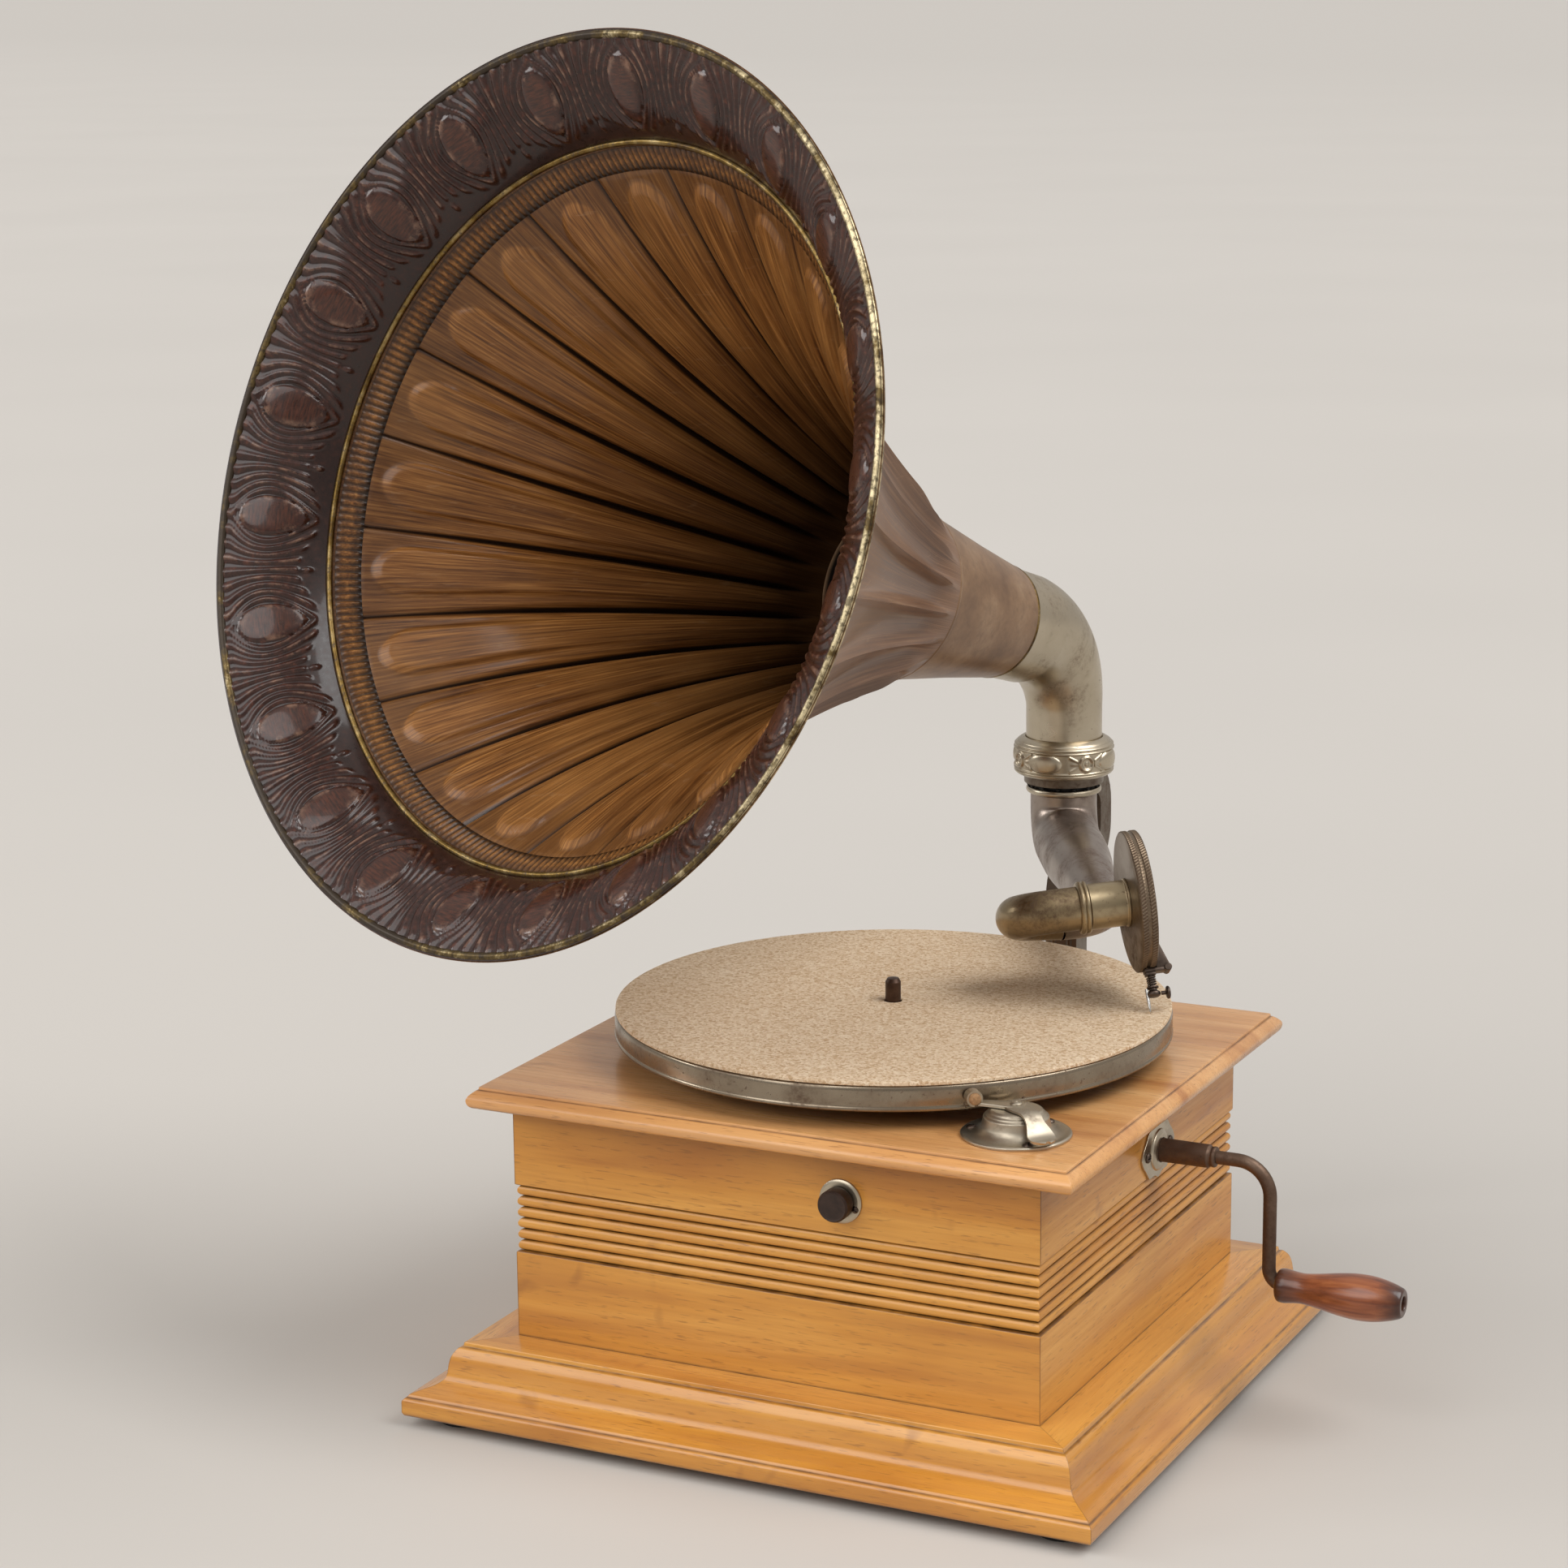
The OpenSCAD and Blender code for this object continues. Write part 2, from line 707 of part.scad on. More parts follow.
module motor_base_plate() {
    color(iron)
        difference() {
            union() {
                translate([-56, -58, base_z]) cube([164, 132, plate_t]);
                translate([spin_x, spin_y, base_z - 3]) cylinder(r = 7, h = 4);
            }
            translate([spin_x, spin_y, base_z - 1]) cylinder(r = 4.06, h = 10);
            translate([barrel_x, barrel_y, base_z - 10]) cylinder(r = 4.06, h = 30);
            translate([link_x, link_y, base_z - 10]) cylinder(r = 3.06, h = 30);
        }
}

module motor_pillars() {
    color(steel)
        for (p = pillar_places)
            translate([p[0], p[1], base_z + plate_t]) cylinder(r = 4, h = plate_z - base_z - plate_t);
}

module motor_bolts() {
    color(steel)
        for (p = bolt_places)
            translate([p[0], p[1], 0]) {
                translate([0, 0, lid_top_z]) screw_head(5, 2.6);
                translate([0, 0, plate_z]) cylinder(r = 2.5, h = lid_top_z - plate_z + 0.1);
            }
}

module crank_bearing() {
    color(iron)
        difference() {
            translate([97, crank_y - 9, crank_z - 8]) cube([8, 18, plate_z - crank_z + 8]);
            translate([90, crank_y, crank_z]) rotate([0, 90, 0]) cylinder(r = 5.06, h = 30);
        }
}

module governor_bearings() {
    color(brass)
        for (y = [-79, 26])
            difference() {
                translate([governor_x - 6, y, governor_z - 6]) cube([12, 4, plate_z - governor_z + 6]);
                translate([governor_x, y - 1, governor_z]) rotate([-90, 0, 0]) cylinder(r = 2.06, h = 6);
            }
    color(brass) translate([governor_x - 6, -79, plate_z - 2.5]) cube([12, 12, 2.5]);
}

module platter() {
    color(nickel)
        translate([spin_x, spin_y, 0])
            rotate_extrude($fn = 96)
                polygon([
                    [5, 158], [11, 158], [12, 166], [60, 168.4], [112, 168.9], [122.9, 168], [123, 162],
                    [122.4, 160.6], [123.4, 159.9], [125.2, 160.2], [125.6, 161.2], [125.1, 162.2],
                    [125.3, 169.2], [124.8, 170.8], [123.8, 171.3], [5, 171.3]
                ]);
}

module cork_mat() {
    color(cork)
        translate([spin_x, spin_y, 171.3])
            difference() {
                cylinder(r = mat_r, h = mat_top_z - 171.3, $fn = 96);
                translate([0, 0, -1]) cylinder(r = pin_r + 0.4, h = 5);
            }
}

// Spindle with its pinion and the governor's worm wheel
module spindle() {
    color(steel)
        translate([spin_x, spin_y, 0]) {
            rotate_extrude()
                polygon([
                    [0, base_z - 0.9], [4, base_z - 0.9], [4, 100], [5, 101], [5, 170.9], [pin_r - 0.2, 171.2],
                    [pin_r - 0.2, mat_top_z + 0.2], [pin_r, mat_top_z + 0.2], [pin_r, 182], [2.6, 183.6], [0, 184]
                ]);
            translate([0, 0, 60.4]) gear(pinion_teeth, wheel_mod, 5, 3);
            translate([0, 0, governor_z - 3]) gear(worm_wheel_teeth, 0.88, 6, 3.9);
        }
}

module intermediate_wheel() {
    color(brass)
        translate([link_x, link_y, 0]) {
            translate([0, 0, 61]) gear(wheel_teeth, wheel_mod, 3, 2.9, wheel_phase);
            translate([0, 0, 64]) gear(pinion_teeth, barrel_mod, 7, 2.9);
            translate([0, 0, base_z + 0.2]) cylinder(r = 3, h = plate_z + plate_t - base_z - 0.4);
        }
}

// Drum of the main spring, with the great wheel round its foot
module spring_barrel() {
    color(brass)
        translate([barrel_x, barrel_y, 0]) {
            translate([0, 0, 65]) gear(barrel_teeth, barrel_mod, 4, 6.06, barrel_phase);
            rotate_extrude($fn = 72)
                polygon([
                    [6.06, 69], [37, 69], [37, 99], [36, 100], [6.06, 100], [6.06, 98.6],
                    [35.6, 98.6], [35.6, 70.4], [6.06, 70.4]
                ]);
        }
}

// Flat spiral spring, wound from the arbor out to the drum's wall
spring_turns = 7;
spring_steps = 18;
function coil_r(a) = 7 + 27.4 * a / (360 * spring_turns);
module mainspring() {
    inner = [for (i = [0:spring_turns * spring_steps]) let (a = i * 360 / spring_steps) coil_r(a) * [cos(a), sin(a)]];
    outer = [
        for (i = [spring_turns * spring_steps:-1:0])
            let (a = i * 360 / spring_steps) (coil_r(a) + 0.9) * [cos(a), sin(a)]
    ];
    color(steel) translate([barrel_x, barrel_y, 72]) linear_extrude(25) polygon(concat(inner, outer));
}

// Arbor of the main spring, with the crown wheel that the crank turns
module winding_arbor() {
    color(steel)
        translate([barrel_x, barrel_y, 0]) {
            rotate_extrude()
                polygon([
                    [0, base_z + 0.2], [4, base_z + 0.2], [4, 62], [6, 63], [6, 101], [25, 102.4], [25, crown_z],
                    [17.4, crown_z], [12, 106], [4, 107], [4, plate_z + plate_t - 0.2], [0, plate_z + plate_t - 0.2]
                ]);
            for (i = [0:crown_teeth - 1])
                rotate(i * 360 / crown_teeth) translate([19, -0.5, crown_z - eps]) cube([5.8, 1, 1.5]);
        }
}

module crank_shaft() {
    color(steel)
        translate([0, crank_y, crank_z]) rotate([90, 0, 90]) {
            translate([0, 0, 79]) cylinder(r = 5, h = 45.6);
            translate([0, 0, 79.6]) gear(pinion_teeth, 1.166, 6.8, 3, 90 + 15);
        }
}

module crank_sleeve() {
    color(nickel)
        translate([0, crank_y, crank_z]) rotate([90, 0, 90]) translate([0, 0, half_w - 0.4])
            rotate_extrude() polygon([[0, 0], [5.3, 0], [5.3, 24.6], [4.7, 25.4], [4.5, 26.2], [4.6, 27.2], [4.2, 28.5], [0, 28.5]]);
}

module crank_rod() {
    turn_r = 15;
    low_r = 7;
    start = half_w + 28.1;
    foot_z = crank_z - crank_throw;
    color(rust) {
        translate([start, crank_y, crank_z]) rotate([0, 90, 0]) cylinder(r = rod_r, h = leg_x - turn_r - start);
        rod_bend([leg_x - turn_r, crank_y, crank_z], [1, 0, 0], [0, 0, -1], turn_r, 90, rod_r);
        translate([leg_x, crank_y, foot_z + low_r]) cylinder(r = rod_r, h = crank_throw - turn_r - low_r);
        rod_bend([leg_x, crank_y, foot_z + low_r], [0, 0, -1], [1, 0, 0], low_r, 90, rod_r);
        translate([leg_x + low_r, crank_y, foot_z]) rotate([0, 90, 0]) cylinder(r = rod_r, h = grip_len + grip_x - leg_x - low_r - 3);
    }
}

// Turned wooden grip, free on the rod
module crank_grip() {
    s = grip_len / 57;
    color([0.45, 0.22, 0.12])
        translate([grip_x, crank_y, crank_z - crank_throw]) rotate([0, 90, 0])
            difference() {
                rotate_extrude()
                    polygon([
                        [0, 0.6 * s], [6.4, 0], [7.5, 1.2 * s], [7.6, 4 * s], [6.8, 9 * s], [6.9, 14 * s], [8.2, 22 * s],
                        [9.7, 30 * s], [10.3, 37 * s], [10, 44 * s], [8.6, 51 * s], [6.6, 56 * s], [5.8, 57 * s], [0, 57 * s]
                    ]);
                translate([0, 0, -1]) cylinder(r = rod_r + 0.06, h = grip_len + 2);
                // the rod's low bend enters the grip's foot
                translate([0, 0, -4]) cylinder(r = rod_r + 1.6, h = 8);
            }
}

// Frame at the elbow's corner, z along the horn
module horn_frame() {
    translate([arm_x, arm_y, corner_z]) rotate([0, 0, horn_yaw]) rotate([90 - horn_rise, 0, 0]) children();
}

// Nickel elbow that widens from the collar to the horn
module horn_elbow() {
    sides = 40;
    steps = 10;
    run = elbow_bend * tan(elbow_fold / 2);
    z0 = corner_z - run;
    station = function (s) s * elbow_fold / steps;
    route = function (s) [-elbow_bend * (1 - cos(station(s))), z0 + elbow_bend * sin(station(s))];
    width = function (s) tube_r + (horn_joint_r - 0.6 - tube_r) * pow(s / steps, 1.3) * 0.93;
    ring = function (p, tilt, r)
        [for (j = [0:sides - 1]) let (a = j * 360 / sides)
            [r * cos(a), p[0] + r * sin(a) * cos(tilt), p[1] + r * sin(a) * sin(tilt)]];
    end_p = route(steps) + (horn_joint + 4 - run) * [-cos(horn_rise), sin(horn_rise)];
    outer = concat(
        [ring([0, seat_z + 0.1], 0, tube_r)],
        [for (s = [0:steps]) ring(route(s), station(s), width(s))],
        [ring(end_p, elbow_fold, horn_joint_r - 0.6)]
    );
    inner = concat(
        [ring(end_p, elbow_fold, horn_joint_r - 0.6 - sheet)],
        [for (s = [steps:-1:0]) ring(route(s), station(s), width(s) - sheet)],
        [ring([0, seat_z + 0.1], 0, tube_r - sheet)]
    );
    color(nickel)
        translate([arm_x, arm_y, 0]) rotate(horn_yaw) ring_loop(concat(outer, inner));
}

// Plain cone between the elbow and the fluted bell, with a thin brass ring and a catch
module horn_throat() {
    color(walnut) {
        horn_frame() {
            rotate_extrude($fn = 72)
                polygon([
                    [horn_joint_r - 0.6, horn_joint], [horn_joint_r, horn_joint], [horn_joint_r + 5.5, 88],
                    [seam_r, seam_at], [seam_r - sheet, seam_at], [horn_joint_r + 5.5 - sheet, 88],
                    [horn_joint_r - 0.6, horn_joint + 6]
                ]);
            rotate(90) translate([horn_joint_r - 1, 0, horn_joint + 5]) rotate([0, 90, 0]) cylinder(r = 2.4, h = 3);
        }
    }
}

// Depth of the pressed pattern: a crease between flutes and a raised tongue in each
function crease(f) = f == 0 ? 1 : 0;
function tongue(f) = f == 3 ? 1 : (f == 2 || f == 4 ? 0.8 : 0);
module horn_bell() {
    m = flutes * flute_steps;
    fade = function (q) min(1, min(q, 1 - q) * 6);
    ring = function (i, inset)
        let (q = i / bell_rings, l = seam_at + q * (bead_at - 1.25 - seam_at), r = bell_r(l))
        [for (j = [0:m - 1])
            let (f = j % flute_steps, a = (floor(j / flute_steps) + [0, 0.07, 0.2, 0.46, 0.72, 0.93][f]) * 360 / flutes)
            let (rr = r - inset + fade(q) * (crease(f) * (1.2 + r * 0.012) - tongue(f) * r * 0.012))
            [rr * cos(a + 90), rr * sin(a + 90), l]];
    color(walnut)
        horn_frame()
            ring_loop(concat(
                [for (i = [0:bell_rings]) ring(i, 0)],
                [for (i = [bell_rings:-1:0]) ring(i, sheet)]
            ));
}

// Outer band of the mouth, with a bead ring at its foot and pressed ovals
module horn_flare() {
    steps = 6;
    part = 0.93 / steps;
    color(mahogany)
        horn_frame() {
            rotate_extrude($fn = 96)
                polygon(concat(
                    [for (i = [0:steps]) [flare_r(i * part), flare_l(i * part)]],
                    [for (i = [steps:-1:0]) [flare_r(i * part) + 0.35, flare_l(i * part) - 1.2]]
                ));
            translate([0, 0, bead_at + 0.4]) rotate_extrude($fn = 96) translate([bead_r - 0.4, 0]) circle(r = 1.6, $fn = 16);
        }
}
function flare_l(q) = bead_at + (horn_len - bead_at) * (1.35 * q - 0.35 * q * q);

module horn_rim() {
    color(brass)
        horn_frame()
            translate([0, 0, horn_len - 1.4]) rotate_extrude($fn = 96) translate([mouth_r - 1.9, 0]) circle(r = 1.9, $fn = 24);
}

// Frame of the tone arm: x towards the needle, z up
module arm_frame() {
    translate([arm_x, arm_y, 0]) rotate(arm_yaw) children();
}

// Ring of points round p, square to heading h, starting along u
function ring_at(p, h, u, r, sides) =
    let (v = cross(h, u))
    [for (j = [0:sides - 1]) let (a = j * 360 / sides) p + r * cos(a) * u + r * sin(a) * v];

// Rings of a bend that starts at p, heads along h and turns towards t, carrying u with it
function bend_rings(p, h, t, u, rb, turn, steps, r, sides, from = 0) =
    let (c = cross(h, t), uc = u * c, ut = u * t)
    [for (i = [from:steps])
        let (a = turn * i / steps, hh = cos(a) * h + sin(a) * t, tt = cos(a) * t - sin(a) * h)
        ring_at(p + rb * sin(a) * h + rb * (1 - cos(a)) * t, hh, uc * c + ut * tt, r, sides)];

function arm_rings(cut) =
    let (sides = 32, drop = arm_z + arm_bend_r, down = [0, 0, -1], cross_u = cross(fwd, [0, 0, 1]))
    let (knee = [arm_bend_r * fwd[0], arm_bend_r * fwd[1], arm_z])
    concat(
        [ring_at([0, 0, arm_top_z - 1], down, left_turn, arm_r - cut, sides)],
        bend_rings([0, 0, drop], down, fwd, left_turn, arm_bend_r, 90, 8, arm_r - cut, sides),
        [ring_at([taper_from * fwd[0], taper_from * fwd[1], arm_z], fwd, left_turn, arm_r - cut, sides)],
        bend_rings(
            [elbow_start * fwd[0], elbow_start * fwd[1], arm_z],
            fwd, left_turn, left_turn, elbow_r, elbow_turn, 8, arm_end_r - cut, sides
        ),
        [ring_at([elbow_out[0], seam_y, arm_z], [0, -1, 0], [-1, 0, 0], arm_end_r - cut, sides)]
    );

function reversed(l) = [for (i = [len(l) - 1:-1:0]) l[i]];

module tone_arm_tube() {
    pin = (neck_r - neck_wall) * cos(180 / neck_sides) - 0.04;
    color([0.60, 0.55, 0.55])
        arm_frame() {
            ring_loop(concat(arm_rings(0), reversed(arm_rings(2.2))));
            translate([0, 0, arm_top_z - 3.3])
                rotate_extrude()
                    polygon([
                        [arm_r - 1.7, 0], [16.8, 0], [18.3, 0.6], [18.7, 1.6], [18.5, 2.6], [18.1, 3.3],
                        [15.64, 3.3], [15.64, 9.3], [arm_r - 1.7, 9.3]
                    ]);
            along([elbow_out[0], seam_y + 4, arm_z], [0, -1, 0])
                rotate_extrude() translate([pin - 1.2, 0]) square([1.2, 10.4]);
        }
}

module arm_bearing_balls() {
    balls = 14;
    color(steel)
        translate([arm_x, arm_y, arm_top_z + 1.02])
            for (i = [0:balls - 1]) rotate(i * 360 / balls) translate([17.3, 0, 0]) sphere(r = 1, $fn = 24);
}

function neck_rings(cut) =
    let (sides = neck_sides, back = [0, -1, 0], u = cross(back, up_dir))
    let (first = bend_rings(back_end, back, up_dir, u, neck_bend, 90, 8, neck_r - cut, sides))
    let (second = bend_rings(bend_mid, up_dir, side_dir, u, neck_bend, fold, 8, neck_r - cut, sides, 1))
    let (c = cross(up_dir, side_dir), end_t = cos(fold) * side_dir - sin(fold) * up_dir)
    concat(
        [ring_at([back_end[0], seam_y, arm_z], back, u, neck_r - cut, sides)],
        first, second,
        [ring_at(box_c - 14.3 * a_dir, a_dir, (u * c) * c + (u * side_dir) * end_t, neck_r - cut, sides)]
    );

// Folded neck tube
module neck_tube() {
    color(nickel) arm_frame() ring_loop(concat(neck_rings(0), reversed(neck_rings(neck_wall))));
}

// Sleeve that carries the sound box on the neck, with a grooved ring at its end
module sound_box_sleeve() {
    color(brass)
        arm_frame()
            along(box_c - 26.5 * a_dir, a_dir)
                rotate_extrude()
                    polygon([
                        [9.84, 0], [11.2, 0], [11.9, 0.8], [11.9, 2], [11.3, 2.5], [11.9, 3.1], [11.6, 4.7],
                        [10.3, 5.2], [10.3, 21.2], [11, 21.5], [11, 22.6], [8.4, 22.6], [8.4, 12.9], [9.84, 12.5]
                    ]);
}

// Two knurled shells with a plain groove between, open in front
module sound_box_body() {
    color(nickel)
        arm_frame()
            along(box_c - box_half * a_dir, a_dir)
                rotate_extrude($fn = 72)
                    polygon([
                        [8.4, 0], [box_r - 3, 0], [box_r - 0.4, 0.5], [box_r, 1], [box_r, 3], [box_r - 0.5, 3.2],
                        [box_r - 0.5, 4.9], [box_r, 5.1], [box_r, 7.1], [box_r - 0.5, 7.8], [26.4, 7.8],
                        [25.4, 7], [25.4, 4.6], [27, 4.6], [27, 2.2], [8.4, 2.2]
                    ]);
}

module diaphragm() {
    color([0.82, 0.80, 0.72])
        arm_frame()
            along(box_c - (box_half - 3) * a_dir, a_dir) {
                cylinder(r = 27, h = 0.6);
                difference() {
                    cylinder(r = 27, h = 1.6);
                    translate([0, 0, -1]) cylinder(r = 24.6, h = 4);
                }
            }
}

// Frame of the sound box: x towards the needle, z along the box's axis
module box_frame() {
    arm_frame()
        multmatrix(place(box_c, down_dir, cross(a_dir, down_dir), a_dir)) children();
}

// Stylus bar from the diaphragm's middle over the rim to the needle holder
module stylus_lever() {
    bar_z = box_half + 1.2;
    color(steel)
        box_frame() {
            translate([-1, -1.1, bar_z]) cube([31, 2.2, 1.5]);
            translate([0, 0, -0.3]) cylinder(r = 1, h = bar_z + 0.6);
            translate([0, 0, bar_z + 1.5]) cylinder(r = 2.2, h = 0.9);
            // three-cornered lug on the box's face, its pivot pin and the strap under the rim
            translate([0, 0, box_half])
                rotate([90, 0, 0])
                    linear_extrude(3.2, center = true)
                        polygon([[13, 0], [15, 1], [31.6, 6.6], [33.6, 6.2], [33.6, 3.6], [box_r + 0.2, 2.2], [box_r + 0.2, 0]]);
            translate([32.2, 0, box_half + 5]) rotate([90, 0, 0]) cylinder(r = 1.7, h = 7.4, center = true);
            translate([box_r, -3, -1.8]) cube([1.5, 6, box_half + 6.2]);
            translate([box_r + 1.4, -2.3, -1.4]) cube([1.5, 4.6, 4.6]);
            // needle holder
            translate([box_r + 2.8, 0, 0.9])
                rotate([0, 90, 0])
                    rotate_extrude()
                        polygon([
                            [0, 0], [1.3, 0], [1.3, 5], [2.7, 5.1], [2.7, 5.8], [1.8, 6.2], [1.8, 6.8], [3, 7.6],
                            [3.2, 8.4], [3, 9.2], [2.1, 9.8], [0, 9.8]
                        ]);
        }
}

// Coil on the stem of the needle holder, one unbroken tube
module lever_spring() {
    color(nickel)
        box_frame()
            strand(spring_points, spring_wire);
}

module needle() {
    color(nickel)
        arm_frame()
            along(tip - 11.4 * down_dir, down_dir)
                rotate_extrude($fn = 24) polygon([[0, 0], [0.75, 0], [0.75, 5.2], [0.6, 8.6], [0, 11.4]]);
}

module thumb_screw() {
    color(steel)
        arm_frame()
            multmatrix(place(box_c, down_dir, cross(a_dir, down_dir), a_dir))
                translate([box_r + 11.2, 0, 0.9]) {
                    translate([0, 0, 3.5]) cylinder(r = 0.9, h = 3.2);
                    translate([0, 0, 5.6])
                        rotate_extrude() polygon([[0, 0], [2.2, 0], [2.9, 0.5], [2.9, 1.3], [2.2, 1.8], [0, 1.8]]);
                }
}

// Pad boss of the governor's friction disc, its shaft with a worm, and its weights
module governor_shaft() {
    color(steel)
        translate([governor_x, 0, governor_z]) rotate([-90, 0, 0]) {
            translate([0, 0, -78.6]) cylinder(r = 2, h = 108);
            translate([0, 0, 1]) cylinder(r = 2.6, h = 16);
            for (i = [0:5]) translate([0, 0, 1.4 + 2.765 * i]) rotate_extrude($fn = 32) polygon([[2, -0.9], [3.3, -0.3], [3.3, 0.3], [2, 0.9]]);
        }
}

module governor_weights() {
    color(brass)
        translate([governor_x, 0, governor_z]) rotate([-90, 0, 0]) {
            for (z = [-52, -12])
                translate([0, 0, z])
                    difference() {
                        cylinder(r = 5, h = 4);
                        translate([0, 0, -1]) cylinder(r = 2, h = 6);
                    }
            for (i = [0:2])
                rotate(i * 120) {
                    translate([11, 0, -32]) sphere(r = 5.4, $fn = 32);
                    translate([7.4, -2, -49.6]) rotate([0, 11, 0]) cube([0.5, 4, 17]);
                    translate([4.6, -2, -49.8]) cube([3.4, 4, 0.8]);
                    translate([10.6, -2, -31]) rotate([0, -11, 0]) cube([0.5, 4, 20]);
                    translate([4.6, -2, -11.4]) cube([2.6, 4, 0.8]);
                }
        }
}

module governor_disc() {
    color(steel)
        translate([governor_x, 0, governor_z]) rotate([-90, 0, 0])
            rotate_extrude() polygon([[2, -60], [5, -60], [5, -62.6], [16, -62.6], [16, -64.4], [2, -64.4]]);
}

feet();
bottom_board();
plinth_front();
plinth_back();
plinth_left();
plinth_right();
case_front();
case_back();
case_left();
case_right();
corner_blocks();
top_board();
horn_bracket();
bracket_screws();
collar_nut();
crank_escutcheon();
escutcheon_screws();
speed_escutcheon();
brake_base();
brake_screws();
brake_lever();
brake_pad();
brake_pivot_screw();
speed_knob();
speed_lever();
motor_bedplate();
motor_base_plate();
motor_pillars();
motor_bolts();
crank_bearing();
governor_bearings();
platter();
cork_mat();
spindle();
intermediate_wheel();
spring_barrel();
mainspring();
winding_arbor();
governor_shaft();
governor_weights();
governor_disc();
crank_shaft();
crank_sleeve();
crank_rod();
crank_grip();
horn_elbow();
horn_throat();
horn_bell();
horn_flare();
horn_rim();
tone_arm_tube();
arm_bearing_balls();
neck_tube();
sound_box_sleeve();
sound_box_body();
diaphragm();
stylus_lever();
lever_spring();
needle();
thumb_screw();
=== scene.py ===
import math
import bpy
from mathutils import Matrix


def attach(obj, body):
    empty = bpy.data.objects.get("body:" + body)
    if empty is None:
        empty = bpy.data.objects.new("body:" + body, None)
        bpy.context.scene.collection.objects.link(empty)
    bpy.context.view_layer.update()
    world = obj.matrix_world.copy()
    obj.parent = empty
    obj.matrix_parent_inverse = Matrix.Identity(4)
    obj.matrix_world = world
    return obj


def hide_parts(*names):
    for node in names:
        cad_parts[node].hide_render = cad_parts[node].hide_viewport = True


bl_info = {
    "name": "Horn Gramophone",
    "version": (1, 0, 0),
    "blender": (4, 5, 0),
    "location": "3D View > Sidebar > Gramophone",
    "description": "Dresses the horn gramophone's solids with its case, horn, tone arm and turntable",
    "category": "Object",
}

import bmesh
import bpy
from mathutils import Matrix, Vector

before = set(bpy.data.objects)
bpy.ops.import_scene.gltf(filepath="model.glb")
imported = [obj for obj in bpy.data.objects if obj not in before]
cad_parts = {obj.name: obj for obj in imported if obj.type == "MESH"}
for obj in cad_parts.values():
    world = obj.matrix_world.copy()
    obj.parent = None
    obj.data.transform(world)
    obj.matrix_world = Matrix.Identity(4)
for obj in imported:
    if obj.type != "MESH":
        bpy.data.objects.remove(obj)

MM = 0.001

# Camera that the photograph was fitted with
CAMERA_AZIMUTH = 26.50462
CAMERA_RISE = 12.58471
CAMERA_ROLL = -0.62675
CAMERA_LENS = 85.155
CAMERA_PLACE = Vector((676.7995, -1454.4927, 632.4217))
TO_CAMERA = (-0.55, -0.83, 0.0)

RIGHT = Vector((1, 0, 0))
FRONT = Vector((0, -1, 0))
REAR = Vector((0, 1, 0))
BELOW = Vector((0, 0, -1))

# Case, in millimetres
HALF_W = 125.0
HALF_D = 116.5
PLINTH_TOP = 35.8
REED_LOW = 75.3
REED_HIGH = 105.7
REEDS = 6
LID_UNDER = 142.6
LID_TOP = 151.8
LID_LEFT = 141.0
LID_RIGHT = 144.0
LID_FRONT = 130.2

# Turntable
SPINDLE = Vector((2.2, 6.0, 0.0))
MAT_TOP = 173.3

# Brake and crank
BRAKE = (102.8, -90.2, 0)
CRANK_Y = 16.45
CRANK_Z = 116.7
CRANK_DROP = 54.5

# Horn frame: origin at the elbow's corner, z along the horn
ARM_AXIS = Vector((0.6, 212.0, 0.0))
CORNER_Z = 303.2
HORN_YAW = math.radians(-17.72)
HORN_RISE = math.radians(17.6)
HORN = (
    Matrix.Translation((ARM_AXIS.x, ARM_AXIS.y, CORNER_Z))
    @ Matrix.Rotation(HORN_YAW, 4, "Z")
    @ Matrix.Rotation(math.pi / 2 - HORN_RISE, 4, "X")
)
SEAM_AT = 132.0
SEAM_R = 41.0
BEAD_AT = 338.1
BEAD_R = 158.4
FLUTES = 22
MOUTH_AT = 371.4
MOUTH_R = 197.4
BAND_R = 179.4
OVAL_R = 176.6
JOINT_AT = 56.0
JOINT_R = 27.8

# Tone arm frame: x to the needle, z up
ARM_YAW = math.radians(-57.42)
ARM = Matrix.Translation(ARM_AXIS) @ Matrix.Rotation(ARM_YAW, 4, "Z")
TILT = math.radians(5.0)
A_DIR = Vector((0.0, math.cos(TILT), math.sin(TILT)))
W_DIR = Vector((0.0, -math.sin(TILT), math.cos(TILT)))
TIP = Vector((214.3, 0.0, 173.45))
DOWN = RIGHT * math.sin(math.radians(30)) - W_DIR * math.cos(math.radians(30))
BOX_C = TIP + 1.95 * A_DIR - 52.0 * DOWN
BOX_R = 31.9
BOX_HALF = 3.9

# Neck bend
NECK_R = 9.8
NECK_RUN = 37.8
LEG_DX = 26.0
UP_DIR = Vector((math.cos(math.radians(19)), 0.0, math.sin(math.radians(19))))
FOLD = math.acos(UP_DIR.dot(A_DIR))
SIDE_DIR = (A_DIR - A_DIR.dot(UP_DIR) * UP_DIR) / math.sin(FOLD)
NECK_BEND = LEG_DX / (UP_DIR.x * (1 + math.sin(FOLD)) + (1 - math.cos(FOLD)) * SIDE_DIR.x)
FRONT_END = BOX_C - NECK_RUN * A_DIR
BEND_MID = FRONT_END - NECK_BEND * (1 - math.cos(FOLD)) * SIDE_DIR - NECK_BEND * math.sin(FOLD) * UP_DIR
BACK_END = BEND_MID - NECK_BEND * UP_DIR + NECK_BEND * REAR
SEAM_Y = -31.5
ARM_Z = BACK_END.z
ARM_R = 16.4
ARM_END_R = 9.9
ARM_BEND = 17.5
ELBOW_R = 24.0
DRIFT = -math.atan(8.0 / (BACK_END.x - ELBOW_R))
